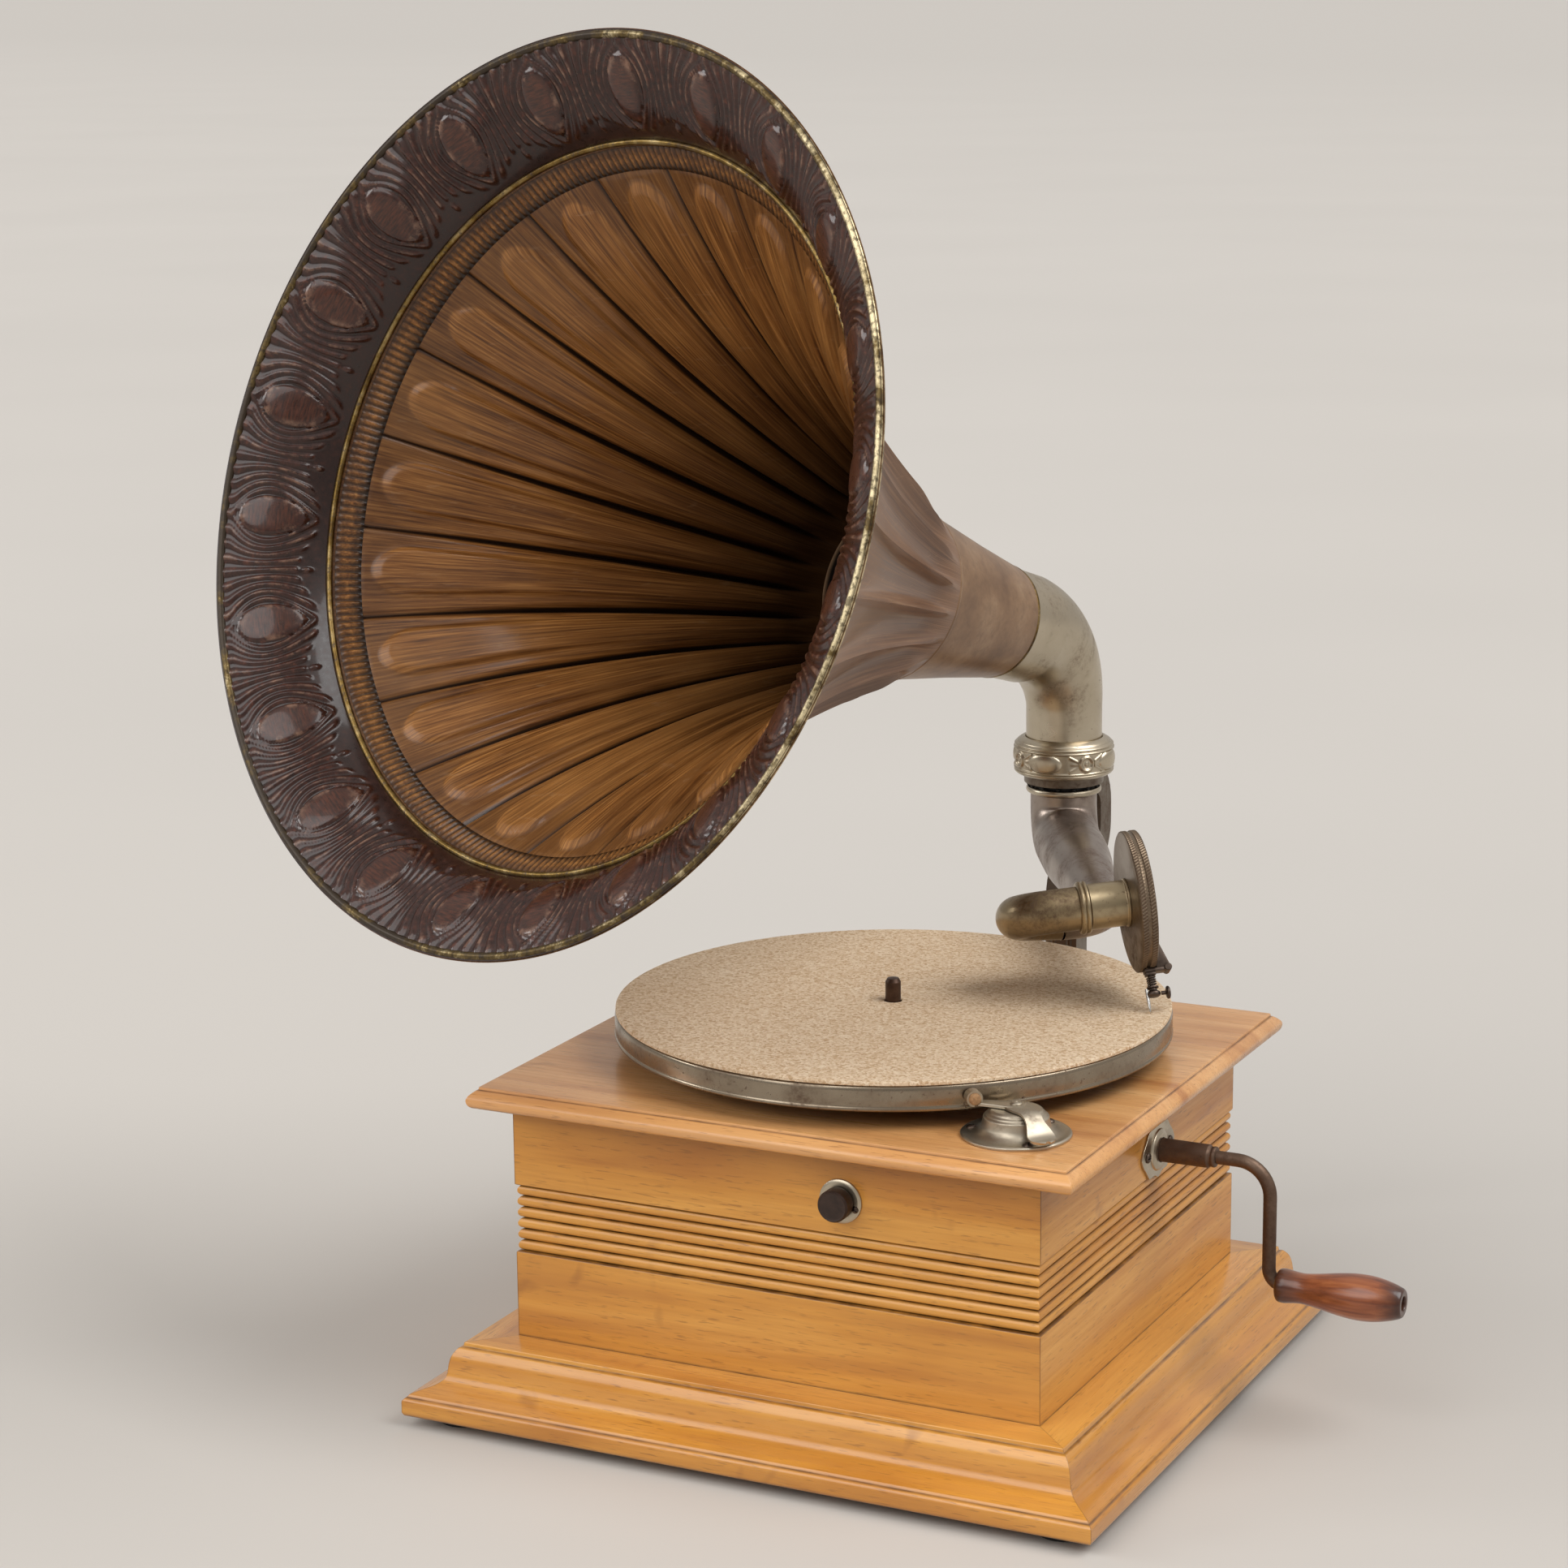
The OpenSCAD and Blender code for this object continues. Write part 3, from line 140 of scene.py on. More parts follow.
FWD = Vector((math.cos(DRIFT), math.sin(DRIFT), 0))
LEFT = Vector((math.sin(DRIFT), -math.cos(DRIFT), 0))
ELBOW_TURN = math.pi / 2 + DRIFT
ELBOW_ADV = ELBOW_R * math.sin(ELBOW_TURN) * FWD + ELBOW_R * (1 - math.cos(ELBOW_TURN)) * LEFT
ELBOW_START = (BACK_END.x - ELBOW_ADV.x) / FWD.x


# Shapes

def smoothstep(low, high, value):
    t = min(1.0, max(0.0, (value - low) / (high - low)))
    return t * t * (3 - 2 * t)


def rounded(points, steps=4, closed=False):
    """Profile with its corners rounded: a point is (x, y) or (x, y, fillet)."""
    out = []
    count = len(points)
    for i, point in enumerate(points):
        here = Vector(point[:2])
        fillet = point[2] if len(point) > 2 else 0.0
        if not fillet or (not closed and i in (0, count - 1)):
            out.append(here)
            continue
        before = Vector(points[i - 1][:2])
        after = Vector(points[(i + 1) % count][:2])
        start = here + (before - here).normalized() * min(fillet, (before - here).length * 0.49)
        end = here + (after - here).normalized() * min(fillet, (after - here).length * 0.49)
        for k in range(steps + 1):
            t = k / steps
            out.append(start.lerp(here, t).lerp(here.lerp(end, t), t))
    return out


def turned(degrees):
    return Matrix.Rotation(math.radians(degrees), 4, "Z")


def shifted(x, y, z):
    return Matrix.Translation((x, y, z))


def polar(r, a, z):
    return Vector((r * math.cos(a), r * math.sin(a), z))


def face_outward(bm):
    bmesh.ops.recalc_face_normals(bm, faces=bm.faces)


def lathe(points, steps=96, closed=False):
    """Revolves a profile of (radius, height) about z."""
    bm = bmesh.new()
    verts = [bm.verts.new((p[0], 0.0, p[1])) for p in points]
    edges = [bm.edges.new(pair) for pair in zip(verts, verts[1:])]
    if closed:
        edges.append(bm.edges.new((verts[-1], verts[0])))
    bmesh.ops.spin(
        bm, geom=verts + edges, cent=(0, 0, 0), axis=(0, 0, 1), angle=math.tau, steps=steps, use_merge=True
    )
    bmesh.ops.remove_doubles(bm, verts=bm.verts, dist=1e-4)
    face_outward(bm)
    return bm


def surface(nu, nv, place, wrap_v=True, wrap_u=False, height=None):
    """Grid laid over a curved surface; place(u, v) gives the point for u and v from 0 to 1."""
    bm = bmesh.new()
    layer = bm.loops.layers.uv.new("UVMap")
    relief = bm.verts.layers.float.new("relief") if height else None
    bmesh.ops.create_grid(bm, x_segments=nu, y_segments=nv, size=0.5)
    for face in bm.faces:
        for loop in face.loops:
            loop[layer].uv = (loop.vert.co.x + 0.5, loop.vert.co.y + 0.5)
    for vert in bm.verts:
        u, v = vert.co.x + 0.5, vert.co.y + 0.5
        if relief:
            vert[relief] = height(u, v)
        vert.co = place(u, v)
    if wrap_v or wrap_u:
        edge = [v for v in bm.verts if v.is_boundary]
        bmesh.ops.remove_doubles(bm, verts=edge, dist=1e-3)
    face_outward(bm)
    return bm


def revolved(profile, sides, start=0.0, radius=None, relief=None):
    """Closed profile turned about z; radius and relief may vary with the point's number and the angle."""
    count = len(profile)

    def spot(u, v):
        return round(u * count) % count, start + v * math.tau

    def place(u, v):
        i, a = spot(u, v)
        return polar(radius(i, a) if radius else profile[i].x, a, profile[i].y)

    height = (lambda u, v: relief(*spot(u, v))) if relief else None
    return surface(count, sides, place, wrap_u=True, height=height)


def close_ends(bm):
    border = [e for e in bm.edges if e.is_boundary]
    bmesh.ops.holes_fill(bm, edges=border, sides=0)
    face_outward(bm)
    return bm


def bend(start, heading, toward, radius, turn, steps=14):
    """Points of an arc that starts along one direction and turns towards another."""
    points = []
    for i in range(1, steps + 1):
        a = turn * i / steps
        points.append(start + radius * math.sin(a) * heading + radius * (1 - math.cos(a)) * toward)
    return points


def tube(path, radii, sides=40):
    """Round tube along a path, its cross-section carried without twist."""
    count = len(path)
    if not hasattr(radii, "__len__"):
        radii = [radii] * count
    tangents = []
    for i in range(count):
        ahead = path[min(i + 1, count - 1)] - path[i]
        behind = path[i] - path[max(i - 1, 0)]
        total = Vector((0, 0, 0))
        if ahead.length > 1e-6:
            total += ahead.normalized()
        if behind.length > 1e-6:
            total += behind.normalized()
        tangents.append(total.normalized())
    side = tangents[0].orthogonal().normalized()
    sides_at = []
    for i, tangent in enumerate(tangents):
        if i:
            side = (side - side.dot(tangent) * tangent).normalized()
        sides_at.append((side.copy(), tangent.cross(side)))

    def place(u, v):
        i = round(u * (count - 1))
        a = v * math.tau
        s, t = sides_at[i]
        return path[i] + radii[i] * (math.cos(a) * s + math.sin(a) * t)

    return surface(count - 1, sides, place)


def soften_edges(bm, edges, offset, steps=3):
    bmesh.ops.bevel(
        bm, geom=edges, offset=offset, offset_type="OFFSET", affect="EDGES",
        segments=steps, profile=0.5, material=-1,
    )


def block(size, centre=(0, 0, 0), soften=0.0):
    bm = bmesh.new()
    bmesh.ops.create_cube(bm, size=1.0)
    bmesh.ops.scale(bm, vec=size, verts=bm.verts)
    bmesh.ops.translate(bm, vec=centre, verts=bm.verts)
    if soften:
        soften_edges(bm, bm.edges[:], soften)
    return bm


def disc(radius, depth, soften=0.0, sides=48):
    """Round plate on z = 0 with a softened top edge."""
    return lathe(rounded([(0, 0), (radius, 0), (radius, depth, soften), (0, depth)]), sides)


def plate(points, depth, soften=0.0):
    """Flat plate from an outline, its top edge softened."""
    bm = bmesh.new()
    pulled(bm, filled(bm, [(p[0], p[1], 0.0) for p in points]), (0, 0, depth))
    face_outward(bm)
    if soften:
        rim = [e for e in bm.edges if all(v.co.z > depth - 1e-6 for v in e.verts)]
        soften_edges(bm, rim, soften)
    return bm


def moulding(profile, half_len, half_off, reach):
    """Length of moulding along x on the -y side, its ends mitred; the profile is (outward, z)."""
    bm = bmesh.new()
    start = -half_len - reach - 5
    pulled(bm, filled(bm, [(start, -half_off - p[0], p[1]) for p in profile]), (-2 * start, 0, 0))
    for s in (-1, 1):
        cut = bmesh.ops.bisect_plane(
            bm, geom=bm.verts[:] + bm.edges[:] + bm.faces[:], dist=1e-5,
            plane_co=(s * half_len, -half_off, 0), plane_no=(s, 1, 0), clear_outer=True,
        )
        rim = [g for g in cut["geom_cut"] if isinstance(g, bmesh.types.BMEdge)]
        bmesh.ops.holes_fill(bm, edges=rim, sides=0)
    bmesh.ops.remove_doubles(bm, verts=bm.verts, dist=1e-4)
    face_outward(bm)
    return bm


def pulled(bm, face, vec):
    """Extrudes a face along a vector."""
    made = bmesh.ops.extrude_face_region(bm, geom=[face])["geom"]
    bmesh.ops.translate(bm, vec=vec, verts=[g for g in made if isinstance(g, bmesh.types.BMVert)])


def filled(bm, points):
    """One face from a closed outline, bulging inward or not."""
    verts = [bm.verts.new(p) for p in points]
    edges = [bm.edges.new((verts[k - 1], verts[k])) for k in range(len(verts))]
    return bmesh.ops.edgeloop_fill(bm, edges=edges)["faces"][0]


def joined(*shapes):
    """One bmesh from several."""
    out = bmesh.new()
    for bm in shapes:
        mesh = bpy.data.meshes.new("part")
        bm.to_mesh(mesh)
        bm.free()
        out.from_mesh(mesh)
        bpy.data.meshes.remove(mesh)
    return out


def moved(bm, matrix):
    bmesh.ops.transform(bm, matrix=matrix, verts=bm.verts)
    return bm


def frame_of(x, y, z, point):
    """Matrix with these three axes and this origin."""
    return Matrix((
        (x.x, y.x, z.x, point.x), (x.y, y.y, z.y, point.y), (x.z, y.z, z.z, point.z), (0, 0, 0, 1),
    ))


def axes_at(point, x, z):
    """Matrix whose z lies along one direction and x along another, at a point."""
    z = z.normalized()
    x = (x - x.dot(z) * z).normalized()
    return frame_of(x, z.cross(x), z, point)


def linked(name, data):
    obj = bpy.data.objects.new(name, data)
    bpy.context.scene.collection.objects.link(obj)
    return obj


def piece(name, bm, finish, body, nodes, matrix, sharp):
    """Makes the object from millimetres, gives it its finish and puts it on its body.

    Edges that turn by fewer degrees than sharp are shaded smooth.
    """
    if matrix is not None:
        bmesh.ops.transform(bm, matrix=matrix, verts=bm.verts)
    bmesh.ops.scale(bm, vec=(MM, MM, MM), verts=bm.verts)
    limit = math.radians(sharp)
    for edge in bm.edges:
        edge.smooth = len(edge.link_faces) == 2 and edge.calc_face_angle(0.0) < limit
    for face in bm.faces:
        face.smooth = True
    name = name.replace(" ", "_")
    mesh = bpy.data.meshes.new(name)
    bm.to_mesh(mesh)
    bm.free()
    mesh.materials.append(FINISH[finish])
    obj = linked(name, mesh)
    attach(obj, body)
    if nodes:
        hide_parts(*nodes)
    return obj


def thicken(obj, depth):
    """Gives a skin its wall, laid inwards."""
    solid = obj.modifiers.new("Thickness", "SOLIDIFY")
    solid.thickness = depth * MM
    solid.offset = -1.0
    solid.use_even_offset = False


# Finishes

def srgb(r, g, b):
    def one(c):
        c = c / 255
        return c / 12.92 if c <= 0.04045 else ((c + 0.055) / 1.055) ** 2.4
    return (one(r), one(g), one(b), 1.0)


class Nodes:
    """Small builder for the nodes of a material or world."""

    def __init__(self, owner):
        owner.use_nodes = True
        self.tree = owner.node_tree
        self.tree.nodes.clear()

    def node(self, kind, inputs=None, **settings):
        """Adds a node; inputs holds values or sockets by name or number."""
        node = self.tree.nodes.new("ShaderNode" + kind)
        for name, value in settings.items():
            setattr(node, name, value)
        for socket, value in (inputs or {}).items():
            self.put(node.inputs[socket], value)
        return node

    def put(self, socket, value):
        if isinstance(value, bpy.types.NodeSocket):
            self.tree.links.new(value, socket)
        else:
            socket.default_value = value

    def place(self, scale=(1, 1, 1), turn=(0, 0, 0), shift=(0, 0, 0), source="Object"):
        coords = self.node("TexCoord").outputs[source]
        inputs = {"Vector": coords, "Scale": scale, "Rotation": turn, "Location": shift}
        return self.node("Mapping", inputs).outputs[0]

    def attribute(self, name):
        return self.node("Attribute", attribute_name=name).outputs["Fac"]

    def split(self, vector):
        return self.node("SeparateXYZ", {0: vector}).outputs

    def noise(self, vector, detail=3.0, rough=0.55, distortion=0.0):
        inputs = {"Scale": 1.0, "Detail": detail, "Roughness": rough, "Distortion": distortion}
        return self.node("TexNoise", {"Vector": vector, **inputs}).outputs["Fac"]

    def grain(self, scale, detail=3.0, rough=0.55, distortion=0.0, shift=(0, 0, 0)):
        """Noise on the piece's own coordinates; scale is one number or three."""
        scale = scale if hasattr(scale, "__len__") else (scale,) * 3
        return self.noise(self.place(scale, shift=shift), detail, rough, distortion)

    def chips(self, scale):
        """One random colour for each cell of a foam."""
        return self.node("TexVoronoi", {"Vector": self.place((scale,) * 3), "Scale": 1.0}).outputs["Color"]

    def ramp(self, value, stops):
        node = self.node("ValToRGB", {0: value})
        ramp = node.color_ramp
        while len(ramp.elements) < len(stops):
            ramp.elements.new(1.0)
        for element, (position, colour) in zip(ramp.elements, stops):
            element.position = position
            element.color = colour
        return node.outputs["Color"]

    def span(self, value, low, high, out_low=0.0, out_high=1.0):
        inputs = {"Value": value, "From Min": low, "From Max": high, "To Min": out_low, "To Max": out_high}
        return self.node("MapRange", inputs).outputs[0]

    def math(self, operation, a, b=0.0):
        return self.node("Math", {0: a, 1: b}, operation=operation).outputs[0]

    def mix(self, factor, a, b):
        return self.node("Mix", {"Factor": factor, 6: a, 7: b}, data_type="RGBA").outputs[2]

    def most(self, first, *others):
        for value in others:
            first = self.math("MAXIMUM", first, value)
        return first

    def layers(self, base, *coats):
        """Colours laid over a base one by one: each is (value, low, high, amount, colour)."""
        for value, low, high, amount, colour in coats:
            base = self.mix(self.span(value, low, high, 0.0, amount), base, colour)
        return base

    def background(self, colour, strength):
        return self.node("Background", {"Color": colour, "Strength": strength}).outputs[0]


class Finish(Nodes):
    """One procedural material."""

    def __init__(self, name, roughness=0.5, metallic=0.0, specular=0.5, coat=0.0, coat_roughness=0.1):
        self.material = bpy.data.materials.new(name)
        super().__init__(self.material)
        self.shader = self.node("BsdfPrincipled", {
            "Roughness": roughness, "Metallic": metallic, "Specular IOR Level": specular,
            "Coat Weight": coat, "Coat Roughness": coat_roughness,
        })
        self.node("OutputMaterial", {0: self.shader.outputs[0]})

    def colour(self, value):
        self.put(self.shader.inputs["Base Color"], value)

    def roughness(self, value):
        self.put(self.shader.inputs["Roughness"], value)

    def metallic(self, value):
        self.put(self.shader.inputs["Metallic"], value)

    def bump(self, height, distance, strength=1.0):
        inputs = {"Height": height, "Distance": distance * MM, "Strength": strength}
        self.put(self.shader.inputs["Normal"], self.node("Bump", inputs).outputs[0])


def board_wood(name, along, light, middle, dark, gloss=0.36, seams=None, varnish=0.35):
    """Varnished pale wood with fine grain along one axis; seams adds the grime and painted shade of its
    joints.
    """
    f = Finish(name, roughness=gloss, specular=0.4, coat=varnish, coat_roughness=0.14)
    fine = [420.0, 420.0, 420.0]
    wide = [34.0, 34.0, 34.0]
    fine[along] = 12.0
    wide[along] = 3.2
    grain = f.grain(fine, 4.0, 0.6)
    figure = f.grain(wide, 4.0, 0.55, 0.8)
    pores_at = [1300.0, 1300.0, 1300.0]
    pores_at[along] = 120.0
    pores = f.grain(pores_at, 1.0, 0.5)
    cloud = f.grain(11, 3.0)
    knots = f.grain(24, 2.0, 0.5, 1.2, (3, 7, 1))
    base = f.ramp(figure, [(0.3, dark), (0.46, middle), (0.66, light)])
    base = f.layers(
        base,
        (grain, 0.35, 0.75, 0.5, dark),
        (pores, 0.62, 0.72, 0.5, srgb(116, 66, 28)),
        (cloud, 0.3, 0.72, 0.4, light),
        (knots, 0.66, 0.78, 0.45, srgb(132, 76, 34)),
    )
    # Seam colour: grime and painted shade in the joints, the quirks and the reed valleys.
    if seams:
        base = f.mix(seams(f), base, srgb(62, 32, 14))
    f.colour(base)
    f.roughness(f.span(grain, 0.3, 0.8, gloss - 0.06, gloss + 0.14))
    f.bump(grain, 0.12, 0.3)
    return f.material


def near(f, value, spot, reach):
    """1 on a line, falling to 0 at the reach, all in millimetres."""
    off = f.math("ABSOLUTE", f.math("SUBTRACT", value, spot * MM))
    return f.span(off, 0.0, reach * MM, 1.0, 0.0)


def grime_and_shade_edges(f, low, high, *edges):
    """The strongest of the edges, the grime and painted shade of the joints, broken up by wear."""
    wear = f.grain(60, 3.0)
    return f.math("MULTIPLY", f.most(*edges), f.span(wear, 0.3, 0.6, low, high))


def wall_seams(f):
    """Grime and painted shade in the joints under the lid and over the plinth, at the corners and between the
    reeds.
    """
    x, y, z = f.split(f.place())
    across = near(f, f.math("ABSOLUTE", x), HALF_W, 0.5)
    corner = f.math("MINIMUM", across, near(f, f.math("ABSOLUTE", y), HALF_D, 0.5))
    pitch = (REED_HIGH - REED_LOW) / REEDS * MM
    turns = f.math("DIVIDE", f.math("SUBTRACT", z, REED_LOW * MM), pitch)
    valley = f.span(f.math("PINGPONG", turns, 0.5), 0.03, 0.2, 0.95, 0.0)
    off = f.math("ABSOLUTE", f.math("SUBTRACT", z, (REED_LOW + REED_HIGH) / 2 * MM))
    reeds = f.math("MULTIPLY", valley, f.math("LESS_THAN", off, 15.7 * MM))
    foot, top = near(f, z, PLINTH_TOP, 1.1), near(f, z, LID_UNDER, 1.6)
    return grime_and_shade_edges(f, 0.45, 0.9, foot, top, corner, reeds)


def plinth_seams(f):
    """Grime and painted shade in the quirks of the plinth and along its mitres."""
    x, y, z = f.split(f.place())
    out_x = f.math("SUBTRACT", f.math("ABSOLUTE", x), HALF_W * MM)
    out_y = f.math("SUBTRACT", f.math("ABSOLUTE", y), HALF_D * MM)
    mitre = near(f, f.math("SUBTRACT", out_x, out_y), 0.0, 0.45)
    quirks = [near(f, z, height, reach) for height, reach in ((13.6, 0.6), (33.9, 0.5), (5.0, 1.2))]
    return grime_and_shade_edges(f, 0.35, 0.85, *quirks, f.math("MULTIPLY", mitre, 0.7))


def lid_seams(f):
    """Grime and painted shade in the quirk of the lid's edge and along its underside."""
    z = f.split(f.place())[2]
    return grime_and_shade_edges(f, 0.4, 0.85, near(f, z, 150.6, 0.35), near(f, z, LID_UNDER, 1.0))


def worn_nickel(name, pale, stain, amount, gloss=0.3, spots=0.5):
    """Old nickel plate: pale metal, brown stain in clouds and small pits."""
    f = Finish(name, roughness=gloss, metallic=1.0)
    cloud = f.grain(38, 5.0, 0.62, 0.4)
    pits = f.grain(420, 4.0, 0.7)
    rust = f.math("MULTIPLY", f.span(cloud, 0.62 - 0.3 * amount, 0.8), f.span(pits, 0.42, 0.62))
    pit = f.math("MULTIPLY", f.span(pits, 0.66 - 0.06 * spots, 0.72), spots)
    dirt = f.most(rust, pit, f.span(f.attribute("relief"), -0.35, -0.95, 0.0, 0.85))
    f.colour(f.mix(dirt, f.layers(pale, (cloud, 0.35, 0.7, 0.6 * amount + 0.15, stain)), srgb(84, 60, 44)))
    f.roughness(f.span(f.math("ADD", cloud, dirt), 0.3, 1.3, gloss - 0.05, gloss + 0.32))
    f.metallic(f.span(dirt, 0.0, 1.0, 1.0, 0.45))
    f.bump(pits, 0.05, 0.25)
    return f.material


def plain(name, colour, roughness=0.5, metallic=0.0, scale=300.0, vary=0.15, bumpy=0.04):
    f = Finish(name, roughness=roughness, metallic=metallic)
    speck = f.grain(scale, 4.0, 0.6)
    shade = tuple(c * (1 - vary) for c in colour[:3]) + (1.0,)
    bright = tuple(min(1.0, c * (1 + vary)) for c in colour[:3]) + (1.0,)
    f.colour(f.ramp(speck, [(0.3, shade), (0.7, bright)]))
    f.bump(speck, bumpy, 0.3)
    return f.material


def horn_paint(name, inside=True):
    """Brown paint combed along the flutes; u runs along the horn, v round it. Inside, painted shade darkens
    the grooves, the rib valleys, the ground between the tongues near the mouth, and the throat.
    """
    f = Finish(name, roughness=0.42, specular=0.32, coat=0.22, coat_roughness=0.12)
    comb = f.noise(f.place((5.0, FLUTES * 30, 1.0), source="UV"), 4.0, 0.65)
    broad = f.noise(f.place((2.0, FLUTES * 5, 1.0), source="UV"), 3.0, 0.5)
    patch = f.grain(14, 3.0)
    scratch = f.grain((90, 90, 420), 3.0, 0.6)
    if inside:
        low, mid, high = srgb(64, 33, 12), srgb(138, 88, 40), srgb(192, 136, 74)
    else:
        low, mid, high = srgb(92, 62, 42), srgb(128, 92, 66), srgb(158, 124, 94)
    base = f.ramp(comb, [(0.3, low), (0.5, mid), (0.72, high)])
    base = f.layers(
        base,
        (broad, 0.35, 0.7, 0.5, low),
        (patch, 0.45, 0.75, 0.3, high),
        (scratch, 0.62, 0.76, 0.25, srgb(176, 140, 104)),
    )
    if inside:
        relief = f.attribute("relief")
        along = f.split(f.place(source="UV"))[0]
        # Painted shade: near black in the grooves and rib valleys, and darker towards the throat.
        base = f.layers(
            base,
            (relief, -0.2, -1.3, 0.95, srgb(20, 10, 5)),
            (along, 0.5, 0.08, 0.85, srgb(20, 9, 3)),
        )
        # Painted shade: the lower ground between the tongues is darkened near the mouth.
        between = f.math("MULTIPLY", f.span(relief, 1.7, 0.9), f.span(along, 0.6, 0.8))
        base = f.mix(f.math("MULTIPLY", between, 0.45), base, srgb(58, 32, 14))
    f.colour(base)
    f.roughness(f.span(comb, 0.3, 0.7, 0.3, 0.46))
    f.bump(comb, 0.1, 0.4)
    return f.material


def cone_paint():
    """Plain mottled brown of the throat cone, its inner wall near black as painted shade of the deep throat.
    """
    f = Finish("Horn cone paint", roughness=0.42, specular=0.5, coat=0.15, coat_roughness=0.2)
    cloud = f.grain(34, 5.0, 0.62)
    weave = f.grain(240, 4.0, 0.6)
    base = f.ramp(cloud, [(0.3, srgb(104, 74, 48)), (0.52, srgb(134, 102, 72)), (0.72, srgb(156, 126, 96))])
    base = f.layers(base, (weave, 0.45, 0.7, 0.4, srgb(96, 68, 44)))
    # Painted shade: where relief is set, on the cone's inner wall, the colour turns near black.
    f.colour(f.mix(f.attribute("relief"), base, srgb(16, 8, 3)))
    f.bump(weave, 0.08, 0.35)
    return f.material


def dark_flare_paint():
    """Dark mahogany paint over the pressed border; relief darkens the low ground as painted shade, lightens
    the ridge crests as worn paint with a painted highlight, and colours the ovals.
    """
    f = Finish("Horn border paint", roughness=0.3, specular=0.36, coat=0.34, coat_roughness=0.08)
    crackle = f.grain(330, 5.0, 0.65)
    cloud = f.grain(26, 4.0, 0.6)
    wear = f.grain(120, 5.0, 0.7)
    grain = f.noise(f.place((60.0, FLUTES * 9, 1.0), source="UV"), 3.0, 0.5)
    relief = f.attribute("relief")
    base = f.ramp(crackle, [(0.32, srgb(34, 14, 8)), (0.56, srgb(58, 27, 17)), (0.75, srgb(98, 50, 31))])
    # Painted shade: the low ground between the ridges is darkened by relief.
    base = f.layers(
        base,
        (cloud, 0.45, 0.8, 0.45, srgb(78, 46, 36)),
        (relief, 0.35, 0.0, 0.6, srgb(30, 15, 10)),
    )
    # Crests lighter: worn paint, and a painted highlight for their gloss.
    crest_wear_and_highlight = f.math("MULTIPLY", f.span(relief, 0.6, 0.95), f.span(wear, 0.5, 0.66))
    base = f.mix(crest_wear_and_highlight, base, srgb(122, 90, 72))
    oval = f.ramp(grain, [(0.35, srgb(42, 20, 12)), (0.65, srgb(82, 42, 26))])
    f.colour(f.layers(base, (relief, 1.55, 1.8, 0.95, oval)))
    f.roughness(f.span(crackle, 0.3, 0.75, 0.24, 0.44))
    f.bump(crackle, 0.1, 0.35)
    return f.material


def worn_gold():
    f = Finish("Worn gold line", roughness=0.38, metallic=1.0)
    wear = f.grain(70, 5.0, 0.7)
    speck = f.grain(500, 3.0, 0.6)
    base = f.ramp(wear, [(0.35, srgb(78, 58, 32)), (0.5, srgb(122, 98, 52)), (0.68, srgb(170, 148, 104))])
    f.colour(f.layers(base, (speck, 0.55, 0.65, 0.7, srgb(62, 44, 28))))
    f.metallic(f.span(speck, 0.52, 0.66, 0.95, 0.3))
    f.bump(speck, 0.08, 0.4)
    return f.material


def worn_and_highlit_line():
    """Dull brass of the horn's edge, mostly worn to dark olive, with a painted highlight brightening it
    towards the right.
    """
    f = Finish("Worn rim line with painted highlight", roughness=0.42, metallic=0.9)
    side = f.split(f.place())[0]
    # Painted highlight: the rim grows brighter and more metallic towards the right.
    wear = f.math("ADD", f.grain(46, 5.0, 0.72), f.span(side, -0.16, 0.06, -0.05, 0.15))
    speck = f.grain(420, 3.0, 0.6)
    base = f.ramp(wear, [(0.44, srgb(54, 42, 28)), (0.56, srgb(104, 86, 50)), (0.7, srgb(214, 198, 160))])
    f.colour(f.layers(base, (speck, 0.5, 0.62, 0.7, srgb(48, 36, 24))))
    f.metallic(f.span(wear, 0.45, 0.6, 0.4, 0.95))
    f.bump(speck, 0.08, 0.4)
    return f.material


def cork_sheet():
    f = Finish("Cork sheet", roughness=0.9, specular=0.15)
    chips = f.chips(900)
    fine = f.grain(2100, 3.0, 0.6)
    cloud = f.grain(18, 3.0)
    tone = f.split(chips)[0]
    base = f.ramp(tone, [
        (0.0, srgb(198, 164, 128)), (0.3, srgb(222, 194, 160)),
        (0.65, srgb(232, 208, 178)), (1.0, srgb(242, 222, 194)),
    ])
    f.colour(f.layers(
        base,
        (fine, 0.54, 0.7, 0.6, srgb(140, 104, 70)),
        (cloud, 0.3, 0.7, 0.16, srgb(196, 160, 118)),
    ))
    f.bump(fine, 0.3, 0.6)
    return f.material


